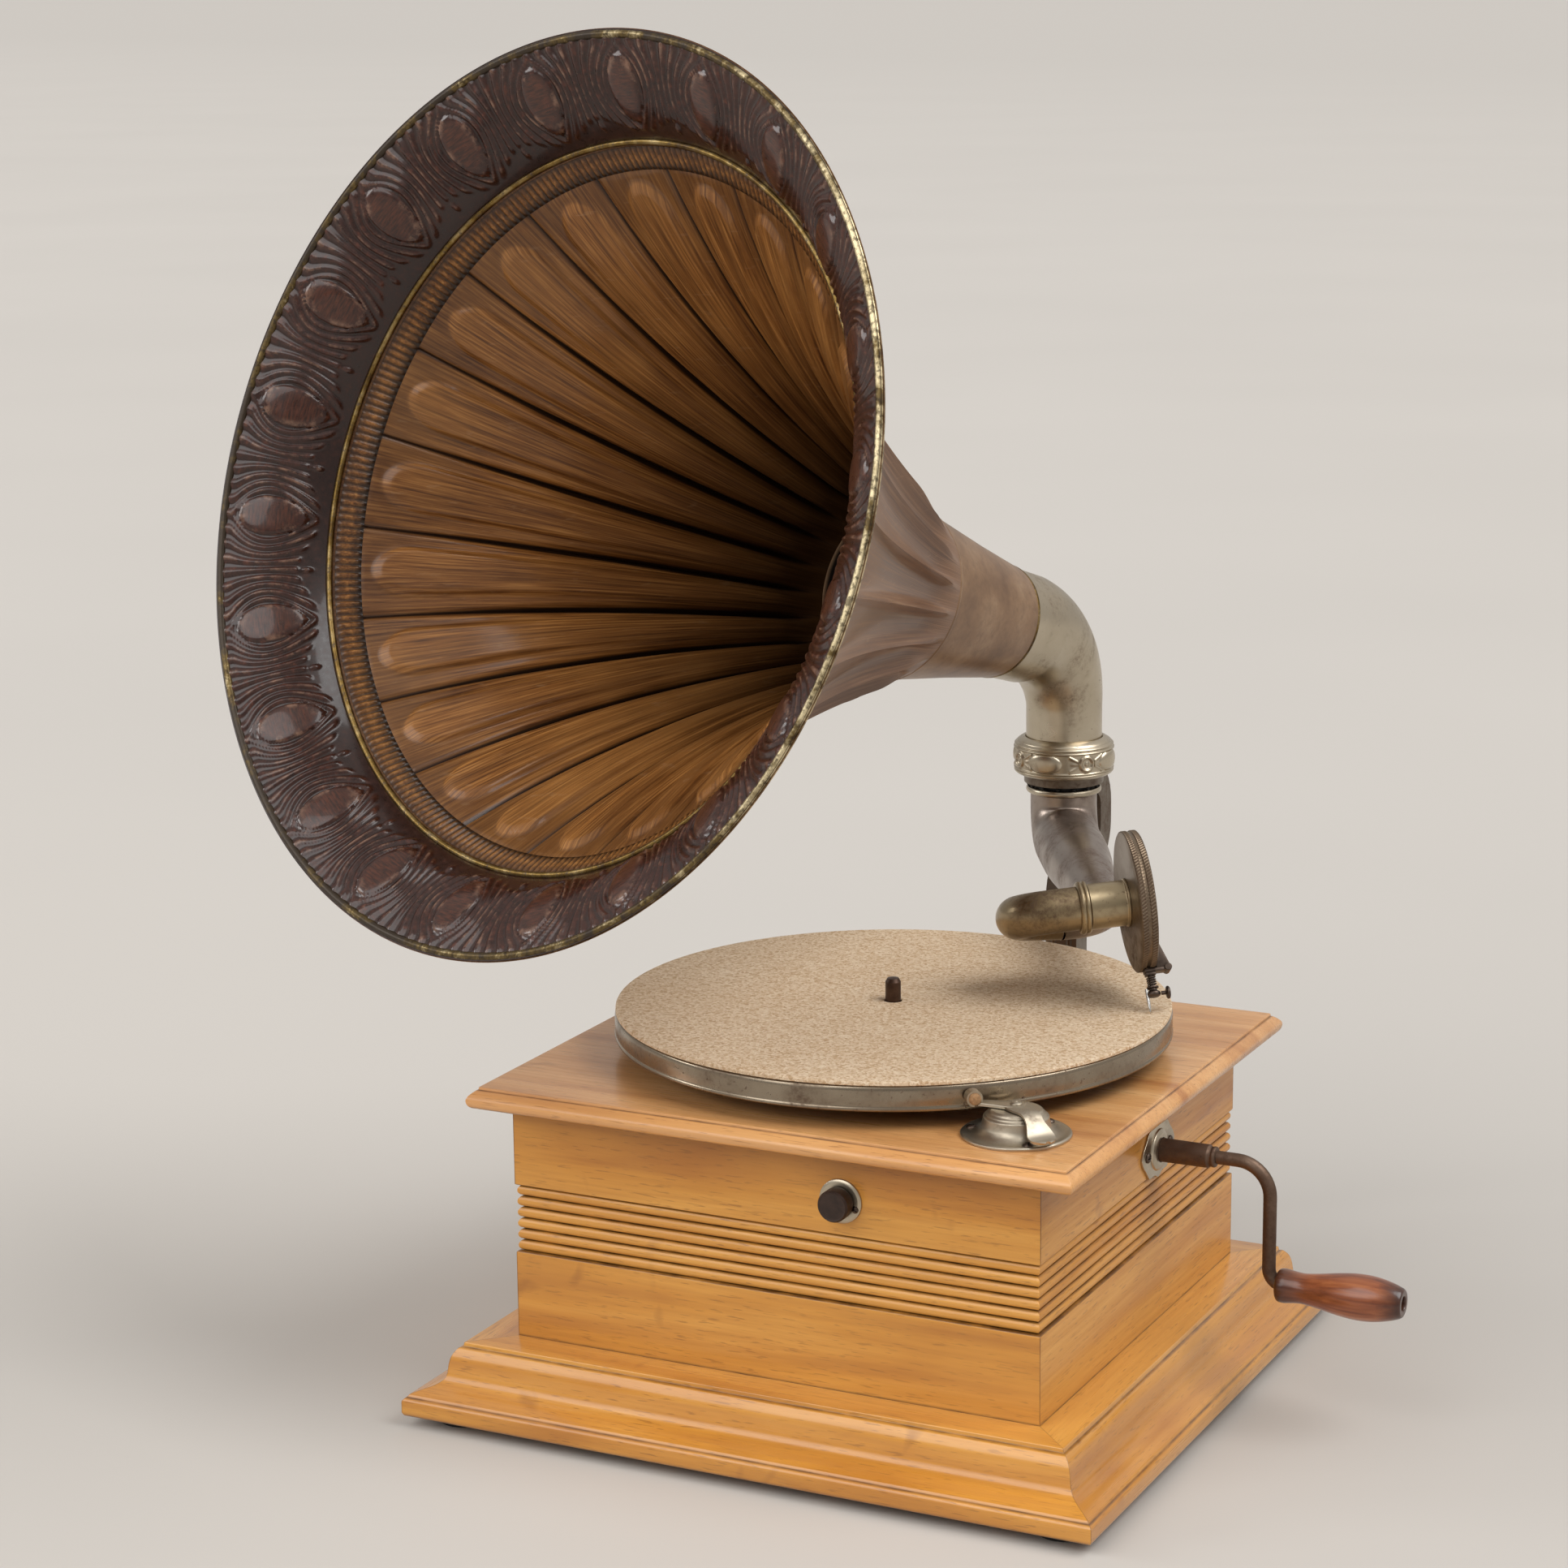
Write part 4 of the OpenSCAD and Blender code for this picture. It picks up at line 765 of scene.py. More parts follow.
def build_finishes():
    """Every finish by its short name."""
    light, middle, dark = srgb(224, 163, 76), srgb(204, 138, 52), srgb(164, 98, 34)
    # The lid wood is paler and pinker than the walls: partly its own tone, partly painted light standing in
    # for the lamp on its top.
    lid = (srgb(236, 182, 122), srgb(218, 158, 96), srgb(178, 114, 62))
    finishes = {
        "wood_x": board_wood("Plinth wood along the front", 0, light, middle, dark, 0.3, plinth_seams, 0.7),
        "wood_y": board_wood("Plinth wood along the side", 1, light, middle, dark, 0.3, plinth_seams, 0.7),
        "wall_x": board_wood("Wall wood along the front", 0, light, middle, dark, seams=wall_seams),
        "wall_y": board_wood("Wall wood along the side", 1, light, middle, dark, seams=wall_seams),
        "lid": board_wood("Lid wood", 0, *lid, gloss=0.3, seams=lid_seams),
        "rim_line": worn_and_highlit_line(),
        "cork": cork_sheet(),
        "horn_in": horn_paint("Horn paint inside", True),
        "horn_out": horn_paint("Horn paint outside", False),
        "cone": cone_paint(),
        "border": dark_flare_paint(),
        "gold": worn_gold(),
        "grip": grip_wood(),
    }
    for key, name, pale, stain, *rest in (
        ("nickel", "Worn nickel", (190, 179, 159), (144, 126, 100), 0.3, 0.3, 0.45),
        ("arm", "Stained arm nickel", (158, 146, 136), (104, 84, 76), 0.6, 0.34, 0.6),
        ("rim", "Turntable rim nickel", (152, 139, 121), (102, 84, 66), 0.5, 0.26, 1.0),
        ("sleeve", "Yellowed nickel", (178, 162, 132), (126, 104, 72), 0.55, 0.3, 0.7),
        ("neck", "Patinated neck", (166, 148, 118), (98, 80, 54), 0.7, 0.3, 0.6),
        ("foot", "Brushed brake nickel", (192, 182, 164), (156, 142, 120), 0.3, 0.38, 0.4),
        ("bracket", "Dulled bracket nickel", (128, 118, 106), (88, 74, 62), 0.6, 0.42, 0.7),
        ("box", "Sound box nickel", (134, 118, 100), (92, 76, 60), 0.5, 0.36, 0.5),
        ("rust", "Browned rod", (120, 100, 86), (78, 56, 44), 0.9, 0.5, 1.0),
    ):
        finishes[key] = worn_nickel(name, srgb(*pale), srgb(*stain), *rest)
    for key, name, colour, *rest in (
        ("steel", "Dark steel", (92, 80, 72), 0.4, 1.0, 250.0, 0.3),
        ("spindle", "Browned spindle", (74, 54, 42), 0.42, 0.6, 260.0, 0.35, 0.06),
        ("bright", "Bright needle steel", (205, 204, 200), 0.22, 1.0, 250.0, 0.05),
        ("knob", "Dark knob", (52, 36, 28), 0.5, 0.3, 260.0, 0.3, 0.08),
        ("iron", "Black casting", (34, 32, 31), 0.55, 0.5, 200.0, 0.2),
        ("brass", "Motor brass", (190, 150, 84), 0.3, 1.0, 120.0, 0.1),
        ("rubber", "Rubber", (40, 38, 36), 0.8),
        ("leather", "Worn leather", (160, 122, 84), 0.8, 0.0, 700.0, 0.3, 0.3),
        ("mica", "Mica", (196, 188, 168), 0.25, 0.0, 60.0, 0.1),
    ):
        finishes[key] = plain(name, srgb(*colour), *rest)
    return finishes


def grip_wood():
    """Red-brown varnished wood, darker at both ends of the grip."""
    f = Finish("Grip wood", roughness=0.28, specular=0.5, coat=0.3, coat_roughness=0.15)
    grain = f.grain((14, 260, 260), 4.0, 0.6)
    base = f.ramp(grain, [(0.3, srgb(98, 46, 24)), (0.5, srgb(142, 78, 44)), (0.72, srgb(176, 108, 66))])
    x = f.split(f.place())[0]
    ends = f.most(f.span(x, 0.198, 0.183), f.span(x, 0.229, 0.238))
    f.colour(f.mix(f.math("MULTIPLY", ends, 0.85), base, srgb(34, 18, 14)))
    return f.material


FINISH = {}


# Horn surfaces

def bell_at(u):
    """Place along the horn's axis, with the rows closer together towards the mouth."""
    return SEAM_AT + (BEAD_AT - SEAM_AT) * (1 - (1 - u) ** 1.5)


def bell_radius(at):
    return SEAM_R + (BEAD_R - SEAM_R) * (math.exp((at - SEAM_AT) / (BEAD_AT - SEAM_AT)) - 1) / (math.e - 1)


def flute_relief(flute, at, pressed=1.0):
    """Inward height of the pressed pattern; flute runs from 0 to 1 between two grooves."""
    r = bell_radius(at)
    width = math.tau * r / FLUTES
    deep = smoothstep(147, 60, r)
    fade = smoothstep(SEAM_AT, SEAM_AT + 30, at)
    end = smoothstep(BEAD_R - 8.2, BEAD_R - 10.4, r)
    gap = min(flute, 1 - flute) * width
    groove = -(1.7 + 2.0 * deep) * fade * end * math.exp(-((gap / (0.95 + 1.0 * deep)) ** 2))
    swell = math.sin(math.pi * flute) ** 0.7 * (0.8 + 3.4 * deep) * fade * end
    half = 0.3 * width
    across = (flute - 0.48) * width
    past = max(0.0, r - 146.5 + half)
    lip = smoothstep(-0.1, 1.9, half - math.hypot(across, past))
    tongue = 3.0 * lip * (0.2 + 0.8 * smoothstep(60, 125, r)) * fade * pressed
    return groove + swell + tongue


def bell_point(u, v, inset=0.0, pressed=1.0):
    """Point of the bell's skin; u runs along it, v round it."""
    at = bell_at(u)
    r = bell_radius(at) - flute_relief((v * FLUTES) % 1.0, at, pressed) - inset
    a = math.pi / 2 + v * math.tau
    return polar(r, a, at)


def flare_path(q):
    """Radius and place along the axis for q from 0 to 1 across the border."""
    r = BEAD_R + (MOUTH_R - BEAD_R) * (0.55 * q + 0.45 * q * q)
    at = BEAD_AT + (MOUTH_AT - BEAD_AT) * (1.35 * q - 0.35 * q * q)
    return r, at


def border_relief(u, q):
    """Ovals framed by ridges that part round them; u round the mouth, q across the band."""
    r = flare_path(q)[0]
    half = math.pi * BAND_R / FLUTES
    across = abs(((u * FLUTES + 0.5) % 1.0) - 0.5) * 2 * half
    y = r - OVAL_R
    lens = 11.8 * max(0.0, 1 - (abs(y) / 14.9) ** 2.0)
    if across < lens:
        dome = math.hypot(across / 9.0, (y + 0.3) / 12.2)
        if dome < 1:
            return 0.35 + 1.6 * math.sqrt(1 - dome ** 3) ** 0.7
        return 1.05 * (0.5 + 0.5 * math.cos(math.pi * min(lens - across, 1.5) / 1.5))
    lane = 4 * (across - lens) / (half - lens)
    low = 161.8 + 4.2 * smoothstep(4, 25, across)
    ends = smoothstep(195.4, 193.8, r) * smoothstep(low - 0.7, low + 0.9, r)
    ridge = 1.05 * (0.5 + 0.5 * math.cos(math.tau * lane)) ** 1.3 * ends
    dot = 0.9 * smoothstep(1.7, 0.8, math.hypot(across - half, r - 163.6))
    return max(ridge, dot)


def flare_point(u, q, lift=1.0):
    r, at = flare_path(q)
    h = border_relief(u, q) * lift
    ahead, behind = flare_path(q + 0.01), flare_path(q - 0.01)
    slope = Vector((ahead[0] - behind[0], ahead[1] - behind[1])).normalized()
    r -= h * slope.y
    at += h * slope.x
    a = math.pi / 2 + u * math.tau
    return polar(r, a, at)


# Sizes and colours that a user would change

class GramophoneSettings(bpy.types.PropertyGroup):
    detail: bpy.props.IntProperty(
        name="Horn detail", description="Steps of the grid in each flute of the bell",
        default=32, min=8, max=32,
    )
    floor_tone: bpy.props.FloatVectorProperty(
        name="Floor colour", description="Colour of the floor and backdrop", subtype="COLOR", size=3,
        default=srgb(198, 193, 187)[:3], min=0.0, max=1.0,
    )
    lamp_power: bpy.props.FloatProperty(
        name="Lamp strength", description="Strength of the lamp above, in watts per square metre",
        default=1.8, min=0.0,
    )


class GRAMOPHONE_OT_case(bpy.types.Operator):
    """Wooden case: plinth, reeded walls and lid"""
    bl_idname = "gramophone.case"
    bl_label = "Case"

    def execute(self, context):
        plinth = rounded([
            (-12, 4.8), (37.4, 4.8, 1.4), (38.3, 6.6, 0.6), (38.3, 12.4, 1.0), (36.4, 13.8, 0.5),
            (35.7, 14.8, 0.4), (32.4, 16.0, 1.5), (27.7, 17.3, 3.0), (24.6, 19.2, 2.4), (23.3, 22.0, 2.0),
            (22.9, 26.5, 2.4), (21.8, 30.8, 2.0), (19.4, 33.6, 0.7), (17.9, 33.9, 0.3), (17.6, 35.8, 0.5),
            (-12, 35.8),
        ], closed=True)
        wall = self.wall_profile()
        sides = (("front", 0, HALF_W, HALF_D, "x"), ("right", 90, HALF_D, HALF_W, "y"),
                 ("back", 180, HALF_W, HALF_D, "x"), ("left", -90, HALF_D, HALF_W, "y"))
        for side, turn, length, off, axis in sides:
            spin = turned(turn)
            piece("Plinth " + side, moulding(plinth, length, off, 38.3), "wood_" + axis, "base",
                  ("plinth_" + side,), spin, 28)
            piece("Reeded wall " + side, moulding(wall, length, off, 0.0), "wall_" + axis, "base",
                  ("case_" + side,), spin, 28)
        piece("Lid", self.lid(), "lid", "base", ("top_board",), None, 28)
        return {"FINISHED"}

    def wall_profile(self):
        """Outline of a wall: plain board, six half-round reeds, plain board."""
        step = (REED_HIGH - REED_LOW) / REEDS
        r = step / 2 - 0.1
        out = rounded([(-13.9, PLINTH_TOP), (0, PLINTH_TOP), (0, REED_LOW - 0.4, 0.5), (-0.8, REED_LOW, 0.2)])
        for i in range(REEDS):
            middle = REED_LOW + (i + 0.5) * step
            for k in range(11):
                a = math.radians(-90 + 18 * k)
                out.append(Vector((-0.7 - r + r * math.cos(a), middle + r * math.sin(a))))
        return out + rounded([
            (-0.8, REED_HIGH), (-0.8, REED_HIGH + 0.01, 0.2), (0, REED_HIGH + 0.4, 0.5),
            (0, LID_UNDER), (-13.9, LID_UNDER),
        ])

    def lid(self):
        edge = rounded([
            (-6.0, LID_UNDER), (-1.4, LID_UNDER, 1.2), (0.0, 144.8, 1.4), (0.0, 147.6, 2.6),
            (-3.4, 150.4, 1.8), (-4.3, 150.55, 0.15), (-4.35, LID_TOP, 0.4), (-7.5, LID_TOP),
        ])
        bm = bmesh.new()
        loops = []
        for o, z in edge:
            x0, x1, y = -LID_LEFT - o, LID_RIGHT + o, LID_FRONT + o
            corners = [(x0, -y, z), (x1, -y, z), (x1, y, z), (x0, y, z)]
            verts = [bm.verts.new(c) for c in corners]
            loops.append([bm.edges.new((verts[k], verts[(k + 1) % 4])) for k in range(4)])
        for a, b in zip(loops, loops[1:]):
            bmesh.ops.bridge_loops(bm, edges=a + b)
        close_ends(bm)
        spans = [(e, e.verts[0].co - e.verts[1].co) for e in bm.edges]
        soften_edges(bm, [e for e, span in spans if abs(span.x) < 8 and abs(span.y) < 8], 0.7, 2)
        face_outward(bm)
        return bm


class GRAMOPHONE_OT_horn(bpy.types.Operator):
    """Horn: fluted bell, ribbed band, patterned border, lines of gold and the cone"""
    bl_idname = "gramophone.horn"
    bl_label = "Horn"

    def execute(self, context):
        around = FLUTES * context.scene.gramophone.detail

        # The flute relief is stored for the inside paint, which uses it for painted shade in the grooves.
        def height(u, v):
            return flute_relief((v * FLUTES) % 1.0, bell_at(u))

        self.skin("Horn bell", surface(140, around, bell_point, height=height), "horn_in", ("horn_bell",), 60)
        back = surface(60, FLUTES * 14, lambda u, v: bell_point(u, v, -1.1, 0.0))
        self.skin("Horn bell back", back, "horn_out", (), 60, outward=True)
        self.ribs()
        self.border()
        self.lines()
        self.cone()
        return {"FINISHED"}

    def skin(self, name, bm, finish, nodes, sharp, slot="horn_brown", outward=False):
        """One skin of the horn, its front turned to the horn's axis or away from it."""
        mesh = piece(name, bm, finish, "horn", nodes, HORN, sharp).data
        inverse = HORN.inverted()
        face = mesh.polygons[len(mesh.polygons) // 2]
        centre = inverse @ (face.center / MM)
        normal = inverse.to_3x3() @ face.normal
        if (normal.x * centre.x + normal.y * centre.y > 0) != outward:
            mesh.flip_normals()

    def ribs(self):
        """Ring of fine radial ribs just inside the bead."""
        count = 286
        inner, outer = BEAD_R - 9.4, BEAD_R - 1.6

        def station(u):
            r = inner + (outer - inner) * u
            at = SEAM_AT + (BEAD_AT - SEAM_AT) * math.log((r - SEAM_R) / (BEAD_R - SEAM_R) * (math.e - 1) + 1)
            return r, at

        def rib(u, v):
            ends = smoothstep(0.0, 0.16, u) * smoothstep(1.0, 0.84, u)
            return 0.25 + 0.75 * ends * (0.5 + 0.5 * math.cos(math.tau * count * v))

        def place(u, v):
            r, at = station(u)
            h = rib(u, v) * 1.2
            a = math.pi / 2 + v * math.tau
            return polar(r - h * 0.8, a, at + h * 0.5)

        # The relief stored here makes the valleys between the ribs dark in the inside paint: painted shade.
        bm = surface(12, count * 8, place, height=lambda u, v: 1.6 * rib(u, v) - 1.5)
        self.skin("Horn rib band", bm, "horn_in", (), 80)

    def border(self):
        bm = surface(44, FLUTES * 96, lambda u, v: flare_point(v, u), height=lambda u, v: border_relief(v, u))
        self.skin("Horn border", bm, "border", ("horn_flare",), 80, "horn_mahogany")

        def outer(u, v):
            point = flare_point(v, u, 0.5)
            r = math.hypot(point.x, point.y)
            grow = (r + 0.55) / r
            return Vector((point.x * grow, point.y * grow, point.z - 0.9))

        self.skin("Horn border back", surface(16, FLUTES * 32, outer), "horn_out", (), 80, outward=True)

    def lines(self):
        def ring(r, at, thick):
            turns = [math.tau * k / 16 for k in range(16)]
            points = [(r + thick * math.cos(a), at + thick * math.sin(a)) for a in turns]
            return lathe(points, 220, closed=True)

        rim = ring(MOUTH_R - 1.9, MOUTH_AT - 1.4, 1.9)
        piece("Horn rim", rim, "rim_line", "horn", ("horn_rim",), HORN, 80)
        line = ring(BEAD_R - 0.6, BEAD_AT + 0.5, 1.4)
        piece("Horn bead line", line, "gold", "horn", (), HORN, 80)
        line = ring(BEAD_R + 0.6, BEAD_AT - 0.6, 1.1)
        piece("Horn bead line outside", line, "horn_out", "horn", (), HORN, 80)

    def cone(self):
        wall = rounded([
            (JOINT_R - 1.8, JOINT_AT + 5), (JOINT_R - 0.1, JOINT_AT + 0.4, 0.3),
            (JOINT_R + 0.2, JOINT_AT + 0.6, 0.3), (33.2, 88), (SEAM_R + 0.2, SEAM_AT - 1.6),
            (SEAM_R + 1.1, SEAM_AT - 1.1, 0.4), (SEAM_R + 1.5, SEAM_AT, 0.6),
            (SEAM_R + 1.3, SEAM_AT + 1.1, 0.4), (SEAM_R + 0.4, SEAM_AT + 1.4), (SEAM_R - 0.9, SEAM_AT),
            (31.9, 88), (JOINT_R - 1.8, JOINT_AT + 5),
        ])[:-1]

        # The inner wall's points carry relief 1, which the cone paint turns near black as painted shade.
        dark = (0, len(wall) - 2, len(wall) - 1)
        bm = revolved(wall, 96, math.pi / 2, relief=lambda i, a: 1.0 if i in dark else 0.0)
        piece("Horn cone", bm, "cone", "horn", ("horn_throat",), HORN, 50)
        band = lathe(rounded([(JOINT_R - 0.9, JOINT_AT - 0.9), (JOINT_R + 0.25, JOINT_AT - 0.9, 0.3),
                              (JOINT_R + 0.35, JOINT_AT + 0.8, 0.3), (JOINT_R - 0.8, JOINT_AT + 0.9)]), 96)
        piece("Horn joint ring", band, "gold", "horn", (), HORN, 50)
        stud = moved(disc(2.5, 2.2, 1.2, 32), axes_at(Vector((0, JOINT_R - 1.0, JOINT_AT + 4)), RIGHT, REAR))
        piece("Horn stud", stud, "nickel", "horn", (), HORN, 50)


class GRAMOPHONE_OT_elbow(bpy.types.Operator):
    """Nickel elbow and collar nut"""
    bl_idname = "gramophone.elbow"
    bl_label = "Elbow and collar"

    def execute(self, context):
        turn = Matrix.Translation(ARM_AXIS) @ Matrix.Rotation(HORN_YAW, 4, "Z")
        fold = math.pi / 2 - HORN_RISE
        radius = 45.0
        run = radius * math.tan(fold / 2)
        thin, wide = 18.7, JOINT_R - 0.6
        z0 = CORNER_Z - run
        path = [Vector((0, 0, 238.2)), Vector((0, 0, 247)), Vector((0, 0, z0 - 4))]
        radii = [thin] * 3
        steps = 24
        for i in range(steps + 1):
            a = fold * i / steps
            path.append(Vector((0, -radius * (1 - math.cos(a)), z0 + radius * math.sin(a))))
            radii.append(thin + (wide - thin) * ((i / steps) ** 1.3) * 0.93)
        path.append(path[-1] + (JOINT_AT + 3 - run) * Vector((0, -math.cos(HORN_RISE), math.sin(HORN_RISE))))
        radii.append(wide)
        bm = tube(path, radii, 72)
        obj = piece("Horn elbow", bm, "nickel", "horn", ("horn_elbow",), turn, 60)
        thicken(obj, 1.2)
        self.collar()
        return {"FINISHED"}

    def collar(self):
        upper = rounded([
            (18.8, 255.0), (19.5, 255.6, 0.4), (21.0, 254.9, 0.8), (23.0, 253.6), (23.15, 253.2, 0.1),
            (24.1, 252.5, 0.5), (24.6, 251.9, 0.4), (23.9, 251.3, 0.3), (24.7, 250.7, 0.3),
            (24.9, 250.3, 0.3), (24.3, 249.9),
        ], 4)
        band = [Vector((24.2, 249.6 - 0.4 * k)) for k in range(22)]
        lower = rounded([
            (24.2, 240.8), (24.9, 240.2, 0.4), (24.0, 239.6, 0.3), (24.7, 239.1, 0.4), (24.3, 238.1, 0.6),
            (22.6, 236.9, 0.9), (19.65, 236.6), (19.65, 237.2), (21.7, 238.3), (21.7, 249.4), (18.8, 249.4),
            (18.8, 255.0),
        ], 4)[:-1]
        profile = upper + band + lower
        first, last = len(upper), len(upper) + len(band)

        def radius(i, a):
            r, z = profile[i]
            return r + self.ornament(math.degrees(a), z - 245.4) if first <= i < last else r

        bm = revolved(profile, 540, radius=radius)
        piece("Collar nut", bm, "nickel", "base", ("collar_nut",), Matrix.Translation(ARM_AXIS), 60)

    def ornament(self, turn, z):
        """Height over the band: four smooth swellings, four rings and ribbons beside them."""
        side = (turn + 1.9 + 45) % 90 - 45
        swell = math.hypot(side / 21.0, z / 5.0)
        if swell < 1:
            return 1.7 * math.sqrt(1 - swell ** 2.4)
        arc = math.radians((turn - 49.6 + 45) % 90 - 45) * 24.5
        d = math.hypot(arc, z)
        ring = 1.15 * math.exp(-(((d - 3.3) / 0.75) ** 2)) + 0.45 * smoothstep(1.6, 0.6, d)
        fan = 0.0
        if 4.4 < abs(arc) < 9.5:
            fold = abs(z) - 1.1 - 0.55 * (abs(arc) - 4.4)
            fan = 0.75 * math.exp(-((fold / 0.7) ** 2))
            fan += 0.6 * math.exp(-((z / 0.6) ** 2)) * smoothstep(9.0, 6.5, abs(arc))
        return max(ring, fan)


class GRAMOPHONE_OT_arm(bpy.types.Operator):
    """Tone arm tube and the folded neck"""
    bl_idname = "gramophone.arm"
    bl_label = "Tone arm"

    def execute(self, context):
        drop = ARM_Z + ARM_BEND
        path = [Vector((0, 0, z)) for z in (229.2, drop + 1, drop)]
        path += bend(path[-1], BELOW, FWD, ARM_BEND, math.pi / 2)
        radii = [ARM_R] * len(path)
        start = Vector((0, 0, ARM_Z)) + ELBOW_START * FWD
        begin = Vector((0, 0, ARM_Z)) + ARM_BEND * FWD
        count = 12
        for i in range(1, count + 1):
            t = i / count
            path.append(begin.lerp(start, t))
            at = ARM_BEND + (ELBOW_START - ARM_BEND) * t
            radii.append(ARM_R + (ARM_END_R - ARM_R) * smoothstep(42, ELBOW_START + 4, at) ** 0.95)
        radii[-1] = ARM_END_R
        path += bend(start, FWD, LEFT, ELBOW_R, ELBOW_TURN, 26)
        radii += [ARM_END_R] * 26
        path.append(Vector((path[-1].x, SEAM_Y + 0.3, ARM_Z)))
        radii.append(ARM_END_R)
        bm = tube(path, radii, 64)
        obj = piece("Tone arm tube", bm, "arm", "arm", ("tone_arm_tube",), ARM, 60)
        thicken(obj, 1.0)
        ring = lathe(rounded([
            (14.6, 226.9), (16.6, 226.9), (18.1, 227.5, 0.5), (18.7, 228.4, 0.5), (18.5, 229.6, 0.5),
            (18.0, 230.2), (14.6, 230.2),
        ]), 96, closed=True)
        piece("Tone arm ring", ring, "nickel", "arm", (), ARM, 40)
        # Black ring behind the bearing balls, between the arm ring and the collar nut: painted shade that
        # makes the gap read dark.
        spigot = lathe([(14.6, 230.2), (15.6, 230.2), (15.6, 236.0), (14.6, 236.0)], 96, closed=True)
        piece("Tone arm gap shade", spigot, "iron", "arm", (), ARM, 40)
        self.neck()
        return {"FINISHED"}

    def neck(self):
        path = [Vector((BACK_END.x, SEAM_Y, ARM_Z)), Vector((BACK_END.x, SEAM_Y - 2, ARM_Z)), BACK_END]
        path += bend(BACK_END, FRONT, UP_DIR, NECK_BEND, math.pi / 2, 16)
        path += bend(BEND_MID, UP_DIR, SIDE_DIR, NECK_BEND, FOLD, 16)
        path += [BOX_C - 24 * A_DIR]
        bm = tube(path, NECK_R, 56)
        obj = piece("Neck tube", bm, "neck", "neck", ("neck_tube",), ARM, 60)
        thicken(obj, 1.0)
        path = [Vector((BACK_END.x, SEAM_Y + 2.5, ARM_Z)), Vector((BACK_END.x, SEAM_Y - 2.5, ARM_Z))]
        piece("Neck spigot", close_ends(tube(path, NECK_R - 2.2, 56)), "neck", "neck", (), ARM, 60)


